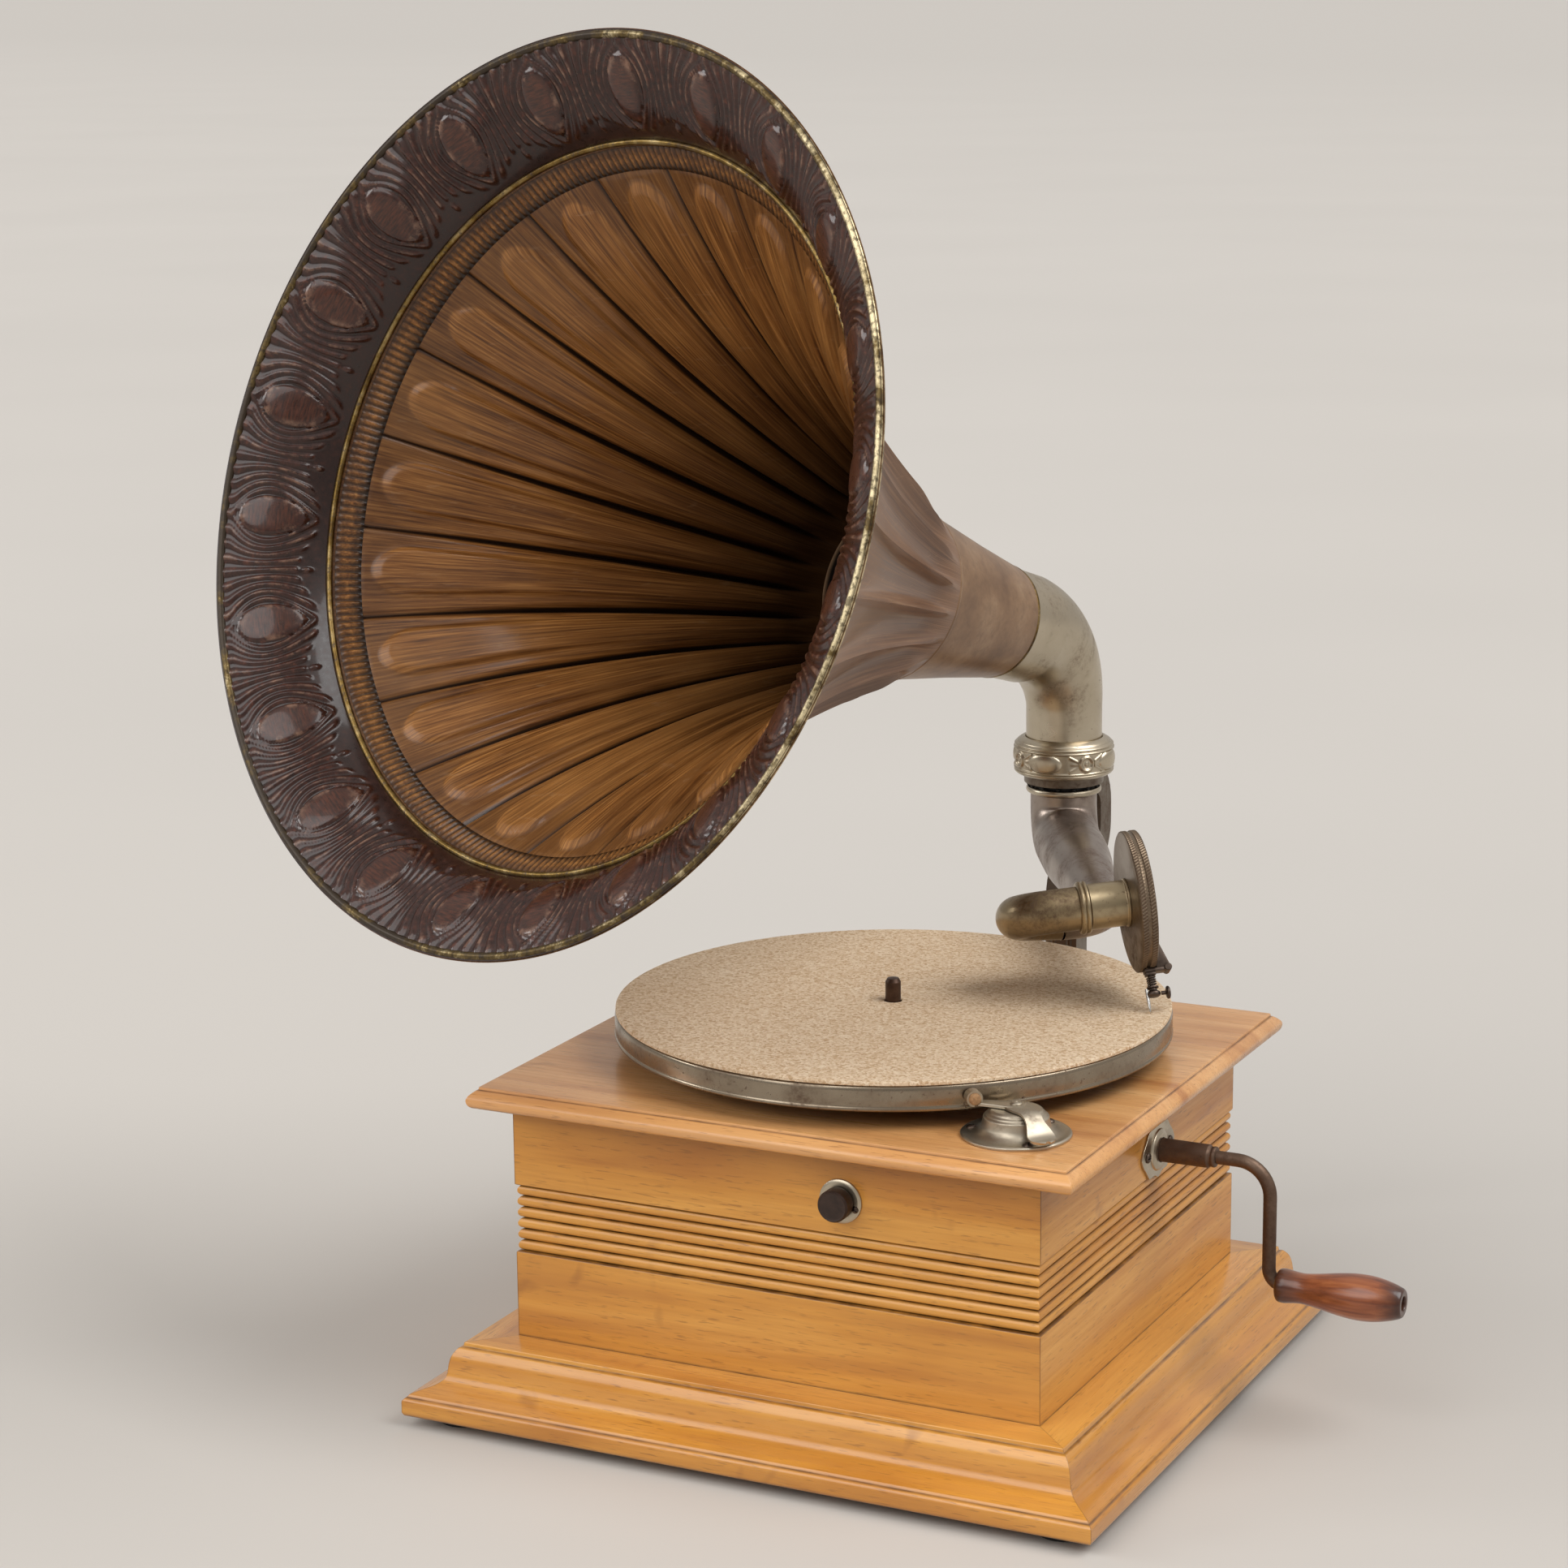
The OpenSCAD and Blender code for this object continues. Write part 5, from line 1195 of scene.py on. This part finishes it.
class GRAMOPHONE_OT_sound_box(bpy.types.Operator):
    """Sound box with its sleeve, diaphragm, stylus lever, spring, needle and thumb screw"""
    bl_idname = "gramophone.sound_box"
    bl_label = "Sound box"

    def execute(self, context):
        self.axis = ARM @ axes_at(BOX_C, DOWN, A_DIR)
        self.sleeve()
        self.body()
        self.lever()
        return {"FINISHED"}

    def sleeve(self):
        outline = rounded([
            (9.84, -26.5), (10.9, -26.5, 0.5), (11.9, -25.6, 0.5), (11.9, -24.4, 0.4), (11.3, -24.0, 0.2),
            (11.9, -23.5, 0.4), (11.9, -22.3, 0.5), (11.4, -21.8, 0.3), (10.3, -21.5, 0.2),
            (10.3, -5.2, 0.5), (10.95, -4.9, 0.2), (10.95, -3.95, 0.2), (8.4, -3.9), (8.4, -13.6),
            (9.84, -14.0), (9.84, -26.5),
        ])[:-1]
        piece("Sound box sleeve", lathe(outline, 72, closed=True), "sleeve", "neck",
              ("sound_box_sleeve",), self.axis, 40)

    def body(self):
        r, h = BOX_R, BOX_HALF
        outline = rounded([(8.4, -h), (r - 3.2, -h, 1.0), (r - 0.8, -h + 0.45, 0.5), (r - 0.4, -h + 0.7)], 3)
        outline += [Vector((r, -h + 0.9 + 0.3 * k)) for k in range(8)]
        outline += rounded([(r - 0.6, -h + 3.2), (r - 0.6, -h + 4.7)])
        outline += [Vector((r, -h + 4.9 + 0.3 * k)) for k in range(8)]
        outline += rounded([
            (r - 0.3, h - 0.6), (r - 0.7, h - 0.2, 0.3), (r - 1.6, h, 0.4), (27.6, h, 0.5),
            (26.2, h - 0.5, 0.4), (25.4, h - 1.2, 0.3), (25.4, 0.7), (27, 0.7), (27, -1.7), (8.4, -1.7),
        ], 3)
        count = 128

        def knurl(i, a):
            """Depth of the slanting knurl, on the outer rings only."""
            r_at, z = outline[i]
            return 0.5 - 0.5 * math.cos(count * a + 2.4 * z) if r_at > r - 0.1 else 0.0

        bm = revolved(
            outline, count * 4,
            radius=lambda i, a: outline[i].x - 0.5 * knurl(i, a), relief=lambda i, a: -knurl(i, a),
        )
        piece("Sound box body", bm, "box", "neck", ("sound_box_body",), self.axis, 50)
        plate_disc = moved(disc(26.9, 0.6, 0.1, 96), shifted(0, 0, -0.9))
        piece("Diaphragm", plate_disc, "mica", "neck", ("diaphragm",), self.axis, 40)
        turns = [k * math.tau / 12 for k in range(12)]
        gasket = lathe([(25.5 + 1.1 * math.cos(a), 0.75 * math.sin(a)) for a in turns], 96, closed=True)
        piece("Gasket", gasket, "rubber", "neck", (), self.axis, 60)

    def lever(self):
        r, h = BOX_R, BOX_HALF
        bar_z = h + 1.2
        outline = rounded([
            (13, 0), (15, 1.0, 0.5), (31.6, 6.6, 0.8), (33.6, 6.2, 0.6), (33.6, 3.6, 0.5),
            (r + 0.2, 2.2, 0.3), (r + 0.2, 0),
        ])
        parts = [
            block((31, 2.2, 1.5), (14.5, 0, bar_z + 0.75), 0.35),
            lathe([(0, -0.3), (1.0, -0.3), (1.0, bar_z + 0.4), (0, bar_z + 0.4)], 24),
            moved(disc(2.2, 0.9, 0.3, 32), shifted(0, 0, bar_z + 1.5)),
            moved(plate(outline, 3.2, 0.25), axes_at(Vector((0, 1.6, h)), RIGHT, FRONT)),
            moved(disc(1.7, 7.4, 0.4, 32), axes_at(Vector((32.2, 3.7, h + 5)), RIGHT, FRONT)),
            block((1.5, 6, h + 6.2), (r + 0.75, 0, -1.8 + (h + 6.2) / 2), 0.3),
            block((1.5, 4.6, 4.6), (r + 2.15, 0, 0.9), 0.3),
        ]
        holder = lathe(rounded([
            (0, 0), (1.3, 0), (1.3, 5.0), (2.7, 5.1, 0.2), (2.7, 5.8, 0.2), (1.8, 6.2, 0.2),
            (1.8, 6.8, 0.3), (3.0, 7.6, 0.4), (3.2, 8.4, 0.4), (3.0, 9.2, 0.3), (2.1, 9.8, 0.3), (0, 9.8),
        ]), 48)
        parts.append(moved(holder, axes_at(Vector((r + 2.8, 0, 0.9)), REAR, RIGHT)))
        piece("Stylus lever", joined(*parts), "steel", "neck", ("stylus_lever",), self.axis, 40)
        self.spring(r)
        needle = lathe([(0, 0), (0.75, 0), (0.75, 5.2), (0.62, 8.2), (0.3, 10.2), (0.0, 11.4)], 24)
        piece("Needle", needle, "bright", "neck", ("needle",),
              ARM @ axes_at(TIP - 11.4 * DOWN, A_DIR, DOWN), 50)
        head = lathe(rounded([
            (0, 0), (2.2, 0, 0.4), (2.9, 0.5, 0.3), (2.9, 1.3, 0.3), (2.2, 1.8, 0.4), (0, 1.8),
        ]), 32)
        screw = joined(
            moved(disc(0.9, 2.6, 0.1, 24), shifted(0, 0, 3.5)),
            moved(head, shifted(0, 0, 5.6)),
        )
        piece("Needle thumb screw", screw, "steel", "needle_clamp", ("thumb_screw",),
              self.axis @ shifted(r + 11.2, 0, 0.9), 40)

    def spring(self, r):
        """Small coil round the needle holder's neck."""
        path = []
        steps = 22
        for k in range(4 * steps + 1):
            a = math.tau * k / steps
            path.append(Vector((r + 3.3 + 1.03 * k / steps, 1.9 * math.cos(a), 0.9 + 1.9 * math.sin(a))))
        bm = close_ends(tube(path, 0.3, 8))
        piece("Lever spring", bm, "steel", "neck", ("lever_spring",), self.axis, 60)


class GRAMOPHONE_OT_turntable(bpy.types.Operator):
    """Platter with rolled rim and cork mat"""
    bl_idname = "gramophone.turntable"
    bl_label = "Turntable"

    def execute(self, context):
        where = Matrix.Translation(SPINDLE)
        rim = rounded([
            (5.0, 158), (11, 158, 0.5), (12, 166, 2), (60, 168.6, 5), (112, 169.2, 3), (122.6, 168.0, 1.5),
            (123.2, 162.4, 0.4), (122.6, 161.0, 0.5), (123.4, 159.9, 0.7), (125.3, 160.3, 0.7),
            (125.6, 161.4, 0.5), (125.1, 162.4, 0.4), (125.35, 165.5, 1.0), (125.3, 169.6, 0.8),
            (124.7, 171.2, 0.7), (122.8, 171.3), (5.0, 171.3),
        ])
        piece("Platter", lathe(rim, 220), "rim", "turntable", ("platter",), where, 35)
        mat = rounded([
            (3.9, 171.35), (124.4, 171.35), (124.95, 171.6, 0.2), (124.9, 173.0, 0.3), (124.2, MAT_TOP, 0.4),
            (4.3, MAT_TOP, 0.2), (3.9, 173.0), (3.9, 171.35),
        ])[:-1]
        piece("Cork mat", lathe(mat, 220, closed=True), "cork", "turntable", ("cork_mat",), where, 40)
        return {"FINISHED"}


class GRAMOPHONE_OT_brake(bpy.types.Operator):
    """Brake with its stepped foot, lever and leather pad"""
    bl_idname = "gramophone.brake"
    bl_label = "Brake"

    def execute(self, context):
        where = Matrix.Translation(BRAKE)
        foot = lathe(rounded([
            (0, LID_TOP), (23.4, LID_TOP, 0.2), (23.5, 152.9, 0.4), (22.7, 153.5, 0.4), (19.5, 153.0, 1.5),
            (16.6, 153.9, 1.6), (14.6, 156.0, 1.4), (14.0, 159.0, 0.8), (13.9, 160.3, 0.5),
            (12.9, 160.9, 0.3), (12.5, 161.6, 0.3), (11.8, 161.9, 0.4), (11.2, 163.0, 0.5),
            (10.4, 163.4, 0.3), (0, 163.4),
        ], 5), 96)
        piece("Brake foot", foot, "foot", "base", ("brake_base",), where, 40)
        heads = []
        for turn in (67, 187, 307):
            spot = turned(turn) @ shifted(19.4, 0, 152.9)
            heads.append(moved(screw_top(2.3, 1.7), spot))
        piece("Brake screws", joined(*heads), "steel", "base", ("brake_screws",), where, 30)
        self.lever(where)
        top = moved(screw_top(2.6, 1.1), shifted(0, 0, 165.2))
        piece("Brake pivot screw", top, "foot", "base", ("brake_pivot_screw",), where, 30)
        return {"FINISHED"}

    def lever(self, where):
        z0 = 163.75
        bar = plate(rounded([
            (-4, -4.2), (0, -4.8, 2.0), (8, -3.3, 3.0), (15.7, -2.4), (15.7, 2.4), (8, 3.3, 3.0),
            (0, 4.8, 2.0), (-4, 4.2),
        ]), 1.4, 0.35)
        bar = moved(bar, turned(188.8) @ shifted(0, 0, z0))
        facing = math.radians(-50.25)
        out = Vector((math.cos(facing), math.sin(facing), 0))
        grip = Matrix.Translation(where.inverted() @ Vector((SPINDLE.x, SPINDLE.y, 166.5)))
        grip = grip @ axes_at(Vector(), BELOW, out)
        curl = bmesh.new()
        face = filled(curl, [(2.64, 0, 126.5), (3.5, 0, 126.5), (3.5, 0, 131.3), (2.64, 0, 131.3)])
        bmesh.ops.spin(curl, geom=[face], cent=(0, 0, 0), axis=(0, 0, 1), angle=math.radians(296), steps=40)
        face_outward(curl)
        curl = moved(curl, grip @ turned(62))
        piece("Brake lever", joined(self.tab(z0), bar, curl), "foot", "brake",
              ("brake_lever",), where, 35)
        pad = lathe(rounded([
            (0, 125.6), (2.5, 125.6, 0.3), (2.6, 126.5, 0.3), (2.6, 131.5, 0.4), (2.35, 133.2, 0.7),
            (0, 133.6),
        ]), 40)
        piece("Brake pad", pad, "leather", "brake", ("brake_pad",), where @ grip, 50)

    def tab(self, z0):
        """Finger tab: a bent strip, wide at the pivot and at its round tip."""
        line = rounded([
            (-6.0, 0.0), (12.3, 0.0, 2.5), (15.5, -2.6, 2.0), (21.0, -7.7, 2.5), (24.0, -8.4), (26.8, -8.5),
        ], 8)
        stations = []
        for a, b in zip(line, line[1:]):
            cuts = max(1, round((b - a).length / 0.7))
            stations += [a.lerp(b, k / cuts) for k in range(cuts)]
        stations.append(line[-1])

        def half(x):
            wide = 5.6 + (3.9 - 5.6) * smoothstep(2.0, 13.5, x) + (6.0 - 3.9) * smoothstep(14.5, 21.0, x)
            tip = 6.0 * math.sqrt(max(0.0, 1 - ((x - 20.9) / 6.0) ** 2)) if x > 20.9 else wide
            back = 5.6 * math.sqrt(max(0.0, 1 - (x / 6.0) ** 2)) if x < 0 else wide
            return max(0.25, min(wide, tip, back))

        rows = []
        bm = bmesh.new()
        sides = [k / 5 - 1 for k in range(11)]
        for p in stations:
            h = half(p.x)
            rows.append([bm.verts.new((p.x, h * t, z0 + p.y + 0.35 * (1 - t ** 2))) for t in sides])
        for a, b in zip(rows, rows[1:]):
            for k in range(10):
                bm.faces.new((a[k], a[k + 1], b[k + 1], b[k]))
        face_outward(bm)
        bmesh.ops.solidify(bm, geom=bm.faces[:], thickness=-1.05)
        face_outward(bm)
        return moved(bm, turned(-38.3))


def screw_top(radius, height):
    """Domed screw head with a slot, standing on z = 0."""
    bm = lathe(rounded([
        (0, 0), (radius, 0), (radius, height * 0.4, 0.2),
        (radius * 0.6, height * 0.95, radius * 0.3), (0, height),
    ]), 32)
    half = max(0.2, radius * 0.12)
    for s in (-1, 1):
        bmesh.ops.bisect_plane(
            bm, geom=bm.verts[:] + bm.edges[:] + bm.faces[:], dist=1e-5,
            plane_co=(0, s * half, 0), plane_no=(0, 1, 0),
        )
    middle = [v for v in bm.verts if abs(v.co.y) < half - 1e-4 and v.co.z > height * 0.3]
    for v in middle:
        v.co.z = min(v.co.z, height * 0.5)
    return bm


class GRAMOPHONE_OT_crank(bpy.types.Operator):
    """Crank with its escutcheon, sleeve, bent rod and turned grip"""
    bl_idname = "gramophone.crank"
    bl_label = "Crank"

    def execute(self, context):
        where = axes_at(Vector((HALF_W, CRANK_Y, CRANK_Z)), REAR, RIGHT)
        outline = []
        for k in range(160):
            a = math.tau * k / 160
            x, y = math.cos(a), math.sin(a)
            lobes = 1.7 * (1 - abs(math.sin(4 * a))) ** 0.8
            r = 1.0 / math.sqrt((x / 18.2) ** 2 + (y / 11.4) ** 2) + lobes
            outline.append((r * x, r * y))
        shield = plate(outline, 1.1, 0.3)
        boss = lathe(rounded([(5.6, 1.0), (9.6, 1.0), (9.2, 1.9, 0.4), (7.2, 2.8, 0.6), (5.6, 2.8)]), 48)
        piece("Crank escutcheon", joined(shield, boss), "nickel", "base",
              ("crank_escutcheon",), where, 35)
        heads = [moved(screw_top(2.4, 1.4), shifted(s * 13.6, 0, 1.1)) for s in (-1, 1)]
        piece("Escutcheon screws", joined(*heads), "steel", "base",
              ("escutcheon_screws",), where, 30)
        sleeve = lathe(rounded([
            (0, -0.4), (5.3, -0.4), (5.3, 3.4), (5.2, 24.2), (5.2, 24.8, 0.5), (4.6, 25.4, 0.2),
            (4.4, 26.2, 0.3), (4.7, 27.0, 0.3), (4.6, 28.0, 0.5), (3.0, 28.6), (0, 28.6),
        ]), 56)
        piece("Crank sleeve", sleeve, "rust", "crank", ("crank_sleeve",), where, 40)
        foot = CRANK_Z - CRANK_DROP
        path = [Vector((153, CRANK_Y, CRANK_Z)), Vector((163, CRANK_Y, CRANK_Z))]
        path += bend(path[-1], RIGHT, BELOW, 15, math.pi / 2, 12)
        path.append(Vector((178, CRANK_Y, foot + 7)))
        path += bend(path[-1], BELOW, RIGHT, 7, math.pi / 2, 8)
        path.append(Vector((236.0, CRANK_Y, foot)))
        piece("Crank rod", close_ends(tube(path, 3.0, 28)), "rust", "crank",
              ("crank_rod",), None, 50)
        grip = lathe(rounded([
            (3.1, 0.8), (6.2, 0.0, 0.8), (7.4, 1.0, 0.8), (7.6, 3.6, 1.2), (6.9, 8.0, 3.0),
            (6.6, 12.0, 3.0), (7.6, 19.0, 5.0), (9.3, 28.0, 6.0), (10.25, 36.5, 6.0), (9.9, 44.5, 5.0),
            (8.2, 52.0, 4.0), (6.7, 56.0, 1.2), (5.9, 57.0, 0.6), (3.4, 57.0, 0.4), (3.1, 56.0), (3.1, 0.8),
        ], 6)[:-1], 72, closed=True)
        spot = axes_at(Vector((182.2, CRANK_Y, foot)), REAR, RIGHT)
        piece("Crank grip", grip, "grip", "grip", ("crank_grip",), spot, 40)
        return {"FINISHED"}


class GRAMOPHONE_OT_knob(bpy.types.Operator):
    """Speed knob with its round plate"""
    bl_idname = "gramophone.knob"
    bl_label = "Speed knob"

    def execute(self, context):
        where = axes_at(Vector((34.2, -HALF_D, 121.2)), RIGHT, FRONT)
        disc_plate = lathe(rounded([(2.3, 0), (9.8, 0), (9.8, 0.9, 0.3), (8.6, 1.4, 0.4), (2.3, 1.4)]), 64)
        spot = turned(-20) @ shifted(7.6, 0, 1.1)
        screw = moved(screw_top(1.6, 1.2), spot)
        piece("Knob plate", disc_plate, "nickel", "base", ("speed_escutcheon",), where, 40)
        piece("Knob plate screw", screw, "steel", "base", (), where, 30)
        knob = lathe(rounded([
            (0, 1.8), (5.8, 1.8, 0.4), (6.6, 2.6, 0.5), (7.0, 3.6, 0.5), (7.0, 8.0, 0.5), (6.6, 8.9, 0.5),
            (5.9, 9.0, 0.2), (5.6, 8.7, 0.2), (0, 8.9),
        ]), 64)
        piece("Speed knob", knob, "knob", "speed", (), where, 40)
        return {"FINISHED"}


class GRAMOPHONE_OT_solids(bpy.types.Operator):
    """Finishes of the solids that show as they are"""
    bl_idname = "gramophone.solids"
    bl_label = "Plain solids"

    def execute(self, context):
        finish = {
            "feet": "rubber", "bottom_board": "wood_x", "corner_blocks": "wood_x",
            "horn_bracket": "bracket", "bracket_screws": "steel", "motor_bedplate": "iron",
            "motor_base_plate": "iron", "motor_pillars": "steel", "motor_bolts": "steel",
            # The bearing balls are black as painted shade, so the gap under the collar reads dark.
            "crank_bearing": "iron", "governor_bearings": "brass", "arm_bearing_balls": "iron",
            "spindle": "spindle", "intermediate_wheel": "brass", "spring_barrel": "brass",
            "mainspring": "steel", "winding_arbor": "steel", "governor_shaft": "steel",
            "governor_weights": "brass", "governor_disc": "steel", "crank_shaft": "steel",
            "speed_lever": "brass", "speed_knob": "knob",
        }
        for node, name in finish.items():
            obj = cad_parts[node]
            obj.data.materials.clear()
            obj.data.materials.append(FINISH[name])
        return {"FINISHED"}


class GRAMOPHONE_OT_stage(bpy.types.Operator):
    """Floor, lamps, world and camera"""
    bl_idname = "gramophone.stage"
    bl_label = "Stage"

    def execute(self, context):
        scene = context.scene
        scene.view_settings.view_transform = "Standard"
        self.floor(scene)
        self.lamps(scene)
        self.camera(scene)
        return {"FINISHED"}

    def floor(self, scene):
        bm = bmesh.new()
        bmesh.ops.create_grid(bm, x_segments=1, y_segments=1, size=400.0)
        mesh = bpy.data.meshes.new("Floor")
        bm.to_mesh(mesh)
        bm.free()
        f = Finish("Studio floor", roughness=0.75, specular=0.2)
        tone = scene.gramophone.floor_tone
        cloud = f.grain((1.1, 1.1, 1.1), 2.0, 0.5)
        base = tuple(tone) + (1.0,)
        shade = tuple(c * 0.97 for c in tone) + (1.0,)
        warm = (tone[0] * 0.985, tone[1] * 0.975, tone[2] * 0.96, 1.0)
        # Painted light: the floor is warmer and a little darker towards the camera and darker far off, a
        # painted falloff of the studio light.
        away = f.split(f.place(turn=(0, 0, math.radians(26.5))))[1]
        close_by = f.mix(f.span(away, 0.4, -1.2), f.ramp(cloud, [(0.35, shade), (0.65, base)]), warm)
        f.colour(f.mix(f.span(away, 1.0, 14.0, 0.0, 1.0), close_by, tuple(c * 0.9 for c in tone) + (1.0,)))
        mesh.materials.append(f.material)
        linked("Floor", mesh)

    def lamps(self, scene):
        """Soft world, backdrop for the rays that show it, and three lamps."""
        world = bpy.data.worlds.new("Studio")
        scene.world = world
        w = Nodes(world)
        direction = w.node("TexCoord").outputs["Generated"]
        height = w.split(direction)["Z"]
        dot = w.node("VectorMath", {0: direction, 1: TO_CAMERA}, operation="DOT_PRODUCT")
        toward = dot.outputs["Value"]

        def level(low, high, behind, ahead):
            rise = w.span(height, -0.1, 0.9, low, high)
            return w.math("MULTIPLY", rise, w.span(toward, -1.0, 1.0, behind, ahead))

        sky = w.background((1.0, 0.985, 0.96, 1.0), level(0.14, 0.55, 0.6, 1.35))
        path = w.node("LightPath").outputs
        mirrored = level(0.7, 1.4, 1.0, 0.5)
        strength = w.node("Mix", {"Factor": path["Is Camera Ray"], 2: mirrored, 3: 1.0})
        backdrop = w.background(srgb(206, 202, 198), strength.outputs[0])
        shown = w.most(path["Is Camera Ray"], path["Is Glossy Ray"], path["Is Transmission Ray"])
        pick = w.node("MixShader", {0: shown, 1: sky, 2: backdrop})
        w.node("OutputWorld", {0: pick.outputs[0]})
        power = scene.gramophone.lamp_power
        self.lamp("Lamp above", (0.65, 0.05, 0.85), 42.0, power)
        self.lamp("Lamp front", (-0.35, -0.85, 0.75), 50.0, power * 0.75)
        self.lamp("Lamp left", (-0.9, -0.35, 0.4), 18.0, power * 0.28)

    def lamp(self, name, direction, spread, power):
        """Sun from one direction, its spread in degrees."""
        data = bpy.data.lights.new(name, "SUN")
        data.energy = power
        data.angle = math.radians(spread)
        obj = linked(name, data)
        obj.rotation_euler = Vector(direction).to_track_quat("Z", "Y").to_euler()

    def camera(self, scene):
        az, el, roll = (math.radians(d) for d in (CAMERA_AZIMUTH, CAMERA_RISE, CAMERA_ROLL))
        back = Vector((math.sin(az) * math.cos(el), -math.cos(az) * math.cos(el), math.sin(el)))
        right = Vector((math.cos(az), math.sin(az), 0.0))
        up = back.cross(right)
        right_rolled = right * math.cos(roll) + up * math.sin(roll)
        up_rolled = up * math.cos(roll) - right * math.sin(roll)
        data = bpy.data.cameras.new("Camera")
        data.lens = CAMERA_LENS
        data.sensor_width = 36.0
        data.clip_end = 2000.0
        camera = linked("Camera", data)
        camera.matrix_world = frame_of(right_rolled, up_rolled, back, CAMERA_PLACE * MM)
        scene.camera = camera


class GRAMOPHONE_PT_panel(bpy.types.Panel):
    bl_label = "Gramophone"
    bl_idname = "GRAMOPHONE_PT_panel"
    bl_space_type = "VIEW_3D"
    bl_region_type = "UI"
    bl_category = "Gramophone"

    def draw(self, context):
        settings = context.scene.gramophone
        for name in ("detail", "floor_tone", "lamp_power"):
            self.layout.prop(settings, name)
        for cls in PIECES:
            self.layout.operator(cls.bl_idname)


PIECES = (
    GRAMOPHONE_OT_solids,
    GRAMOPHONE_OT_case,
    GRAMOPHONE_OT_horn,
    GRAMOPHONE_OT_elbow,
    GRAMOPHONE_OT_arm,
    GRAMOPHONE_OT_sound_box,
    GRAMOPHONE_OT_turntable,
    GRAMOPHONE_OT_brake,
    GRAMOPHONE_OT_crank,
    GRAMOPHONE_OT_knob,
    GRAMOPHONE_OT_stage,
)
CLASSES = (GramophoneSettings,) + PIECES + (GRAMOPHONE_PT_panel,)


def register():
    for cls in CLASSES:
        bpy.utils.register_class(cls)
    bpy.types.Scene.gramophone = bpy.props.PointerProperty(type=GramophoneSettings)


def unregister():
    del bpy.types.Scene.gramophone
    for cls in reversed(CLASSES):
        bpy.utils.unregister_class(cls)


def main():
    register()
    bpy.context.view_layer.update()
    FINISH.update(build_finishes())
    for cls in PIECES:
        group, name = cls.bl_idname.split(".")
        getattr(getattr(bpy.ops, group), name)()


if __name__ == "__main__":
    main()
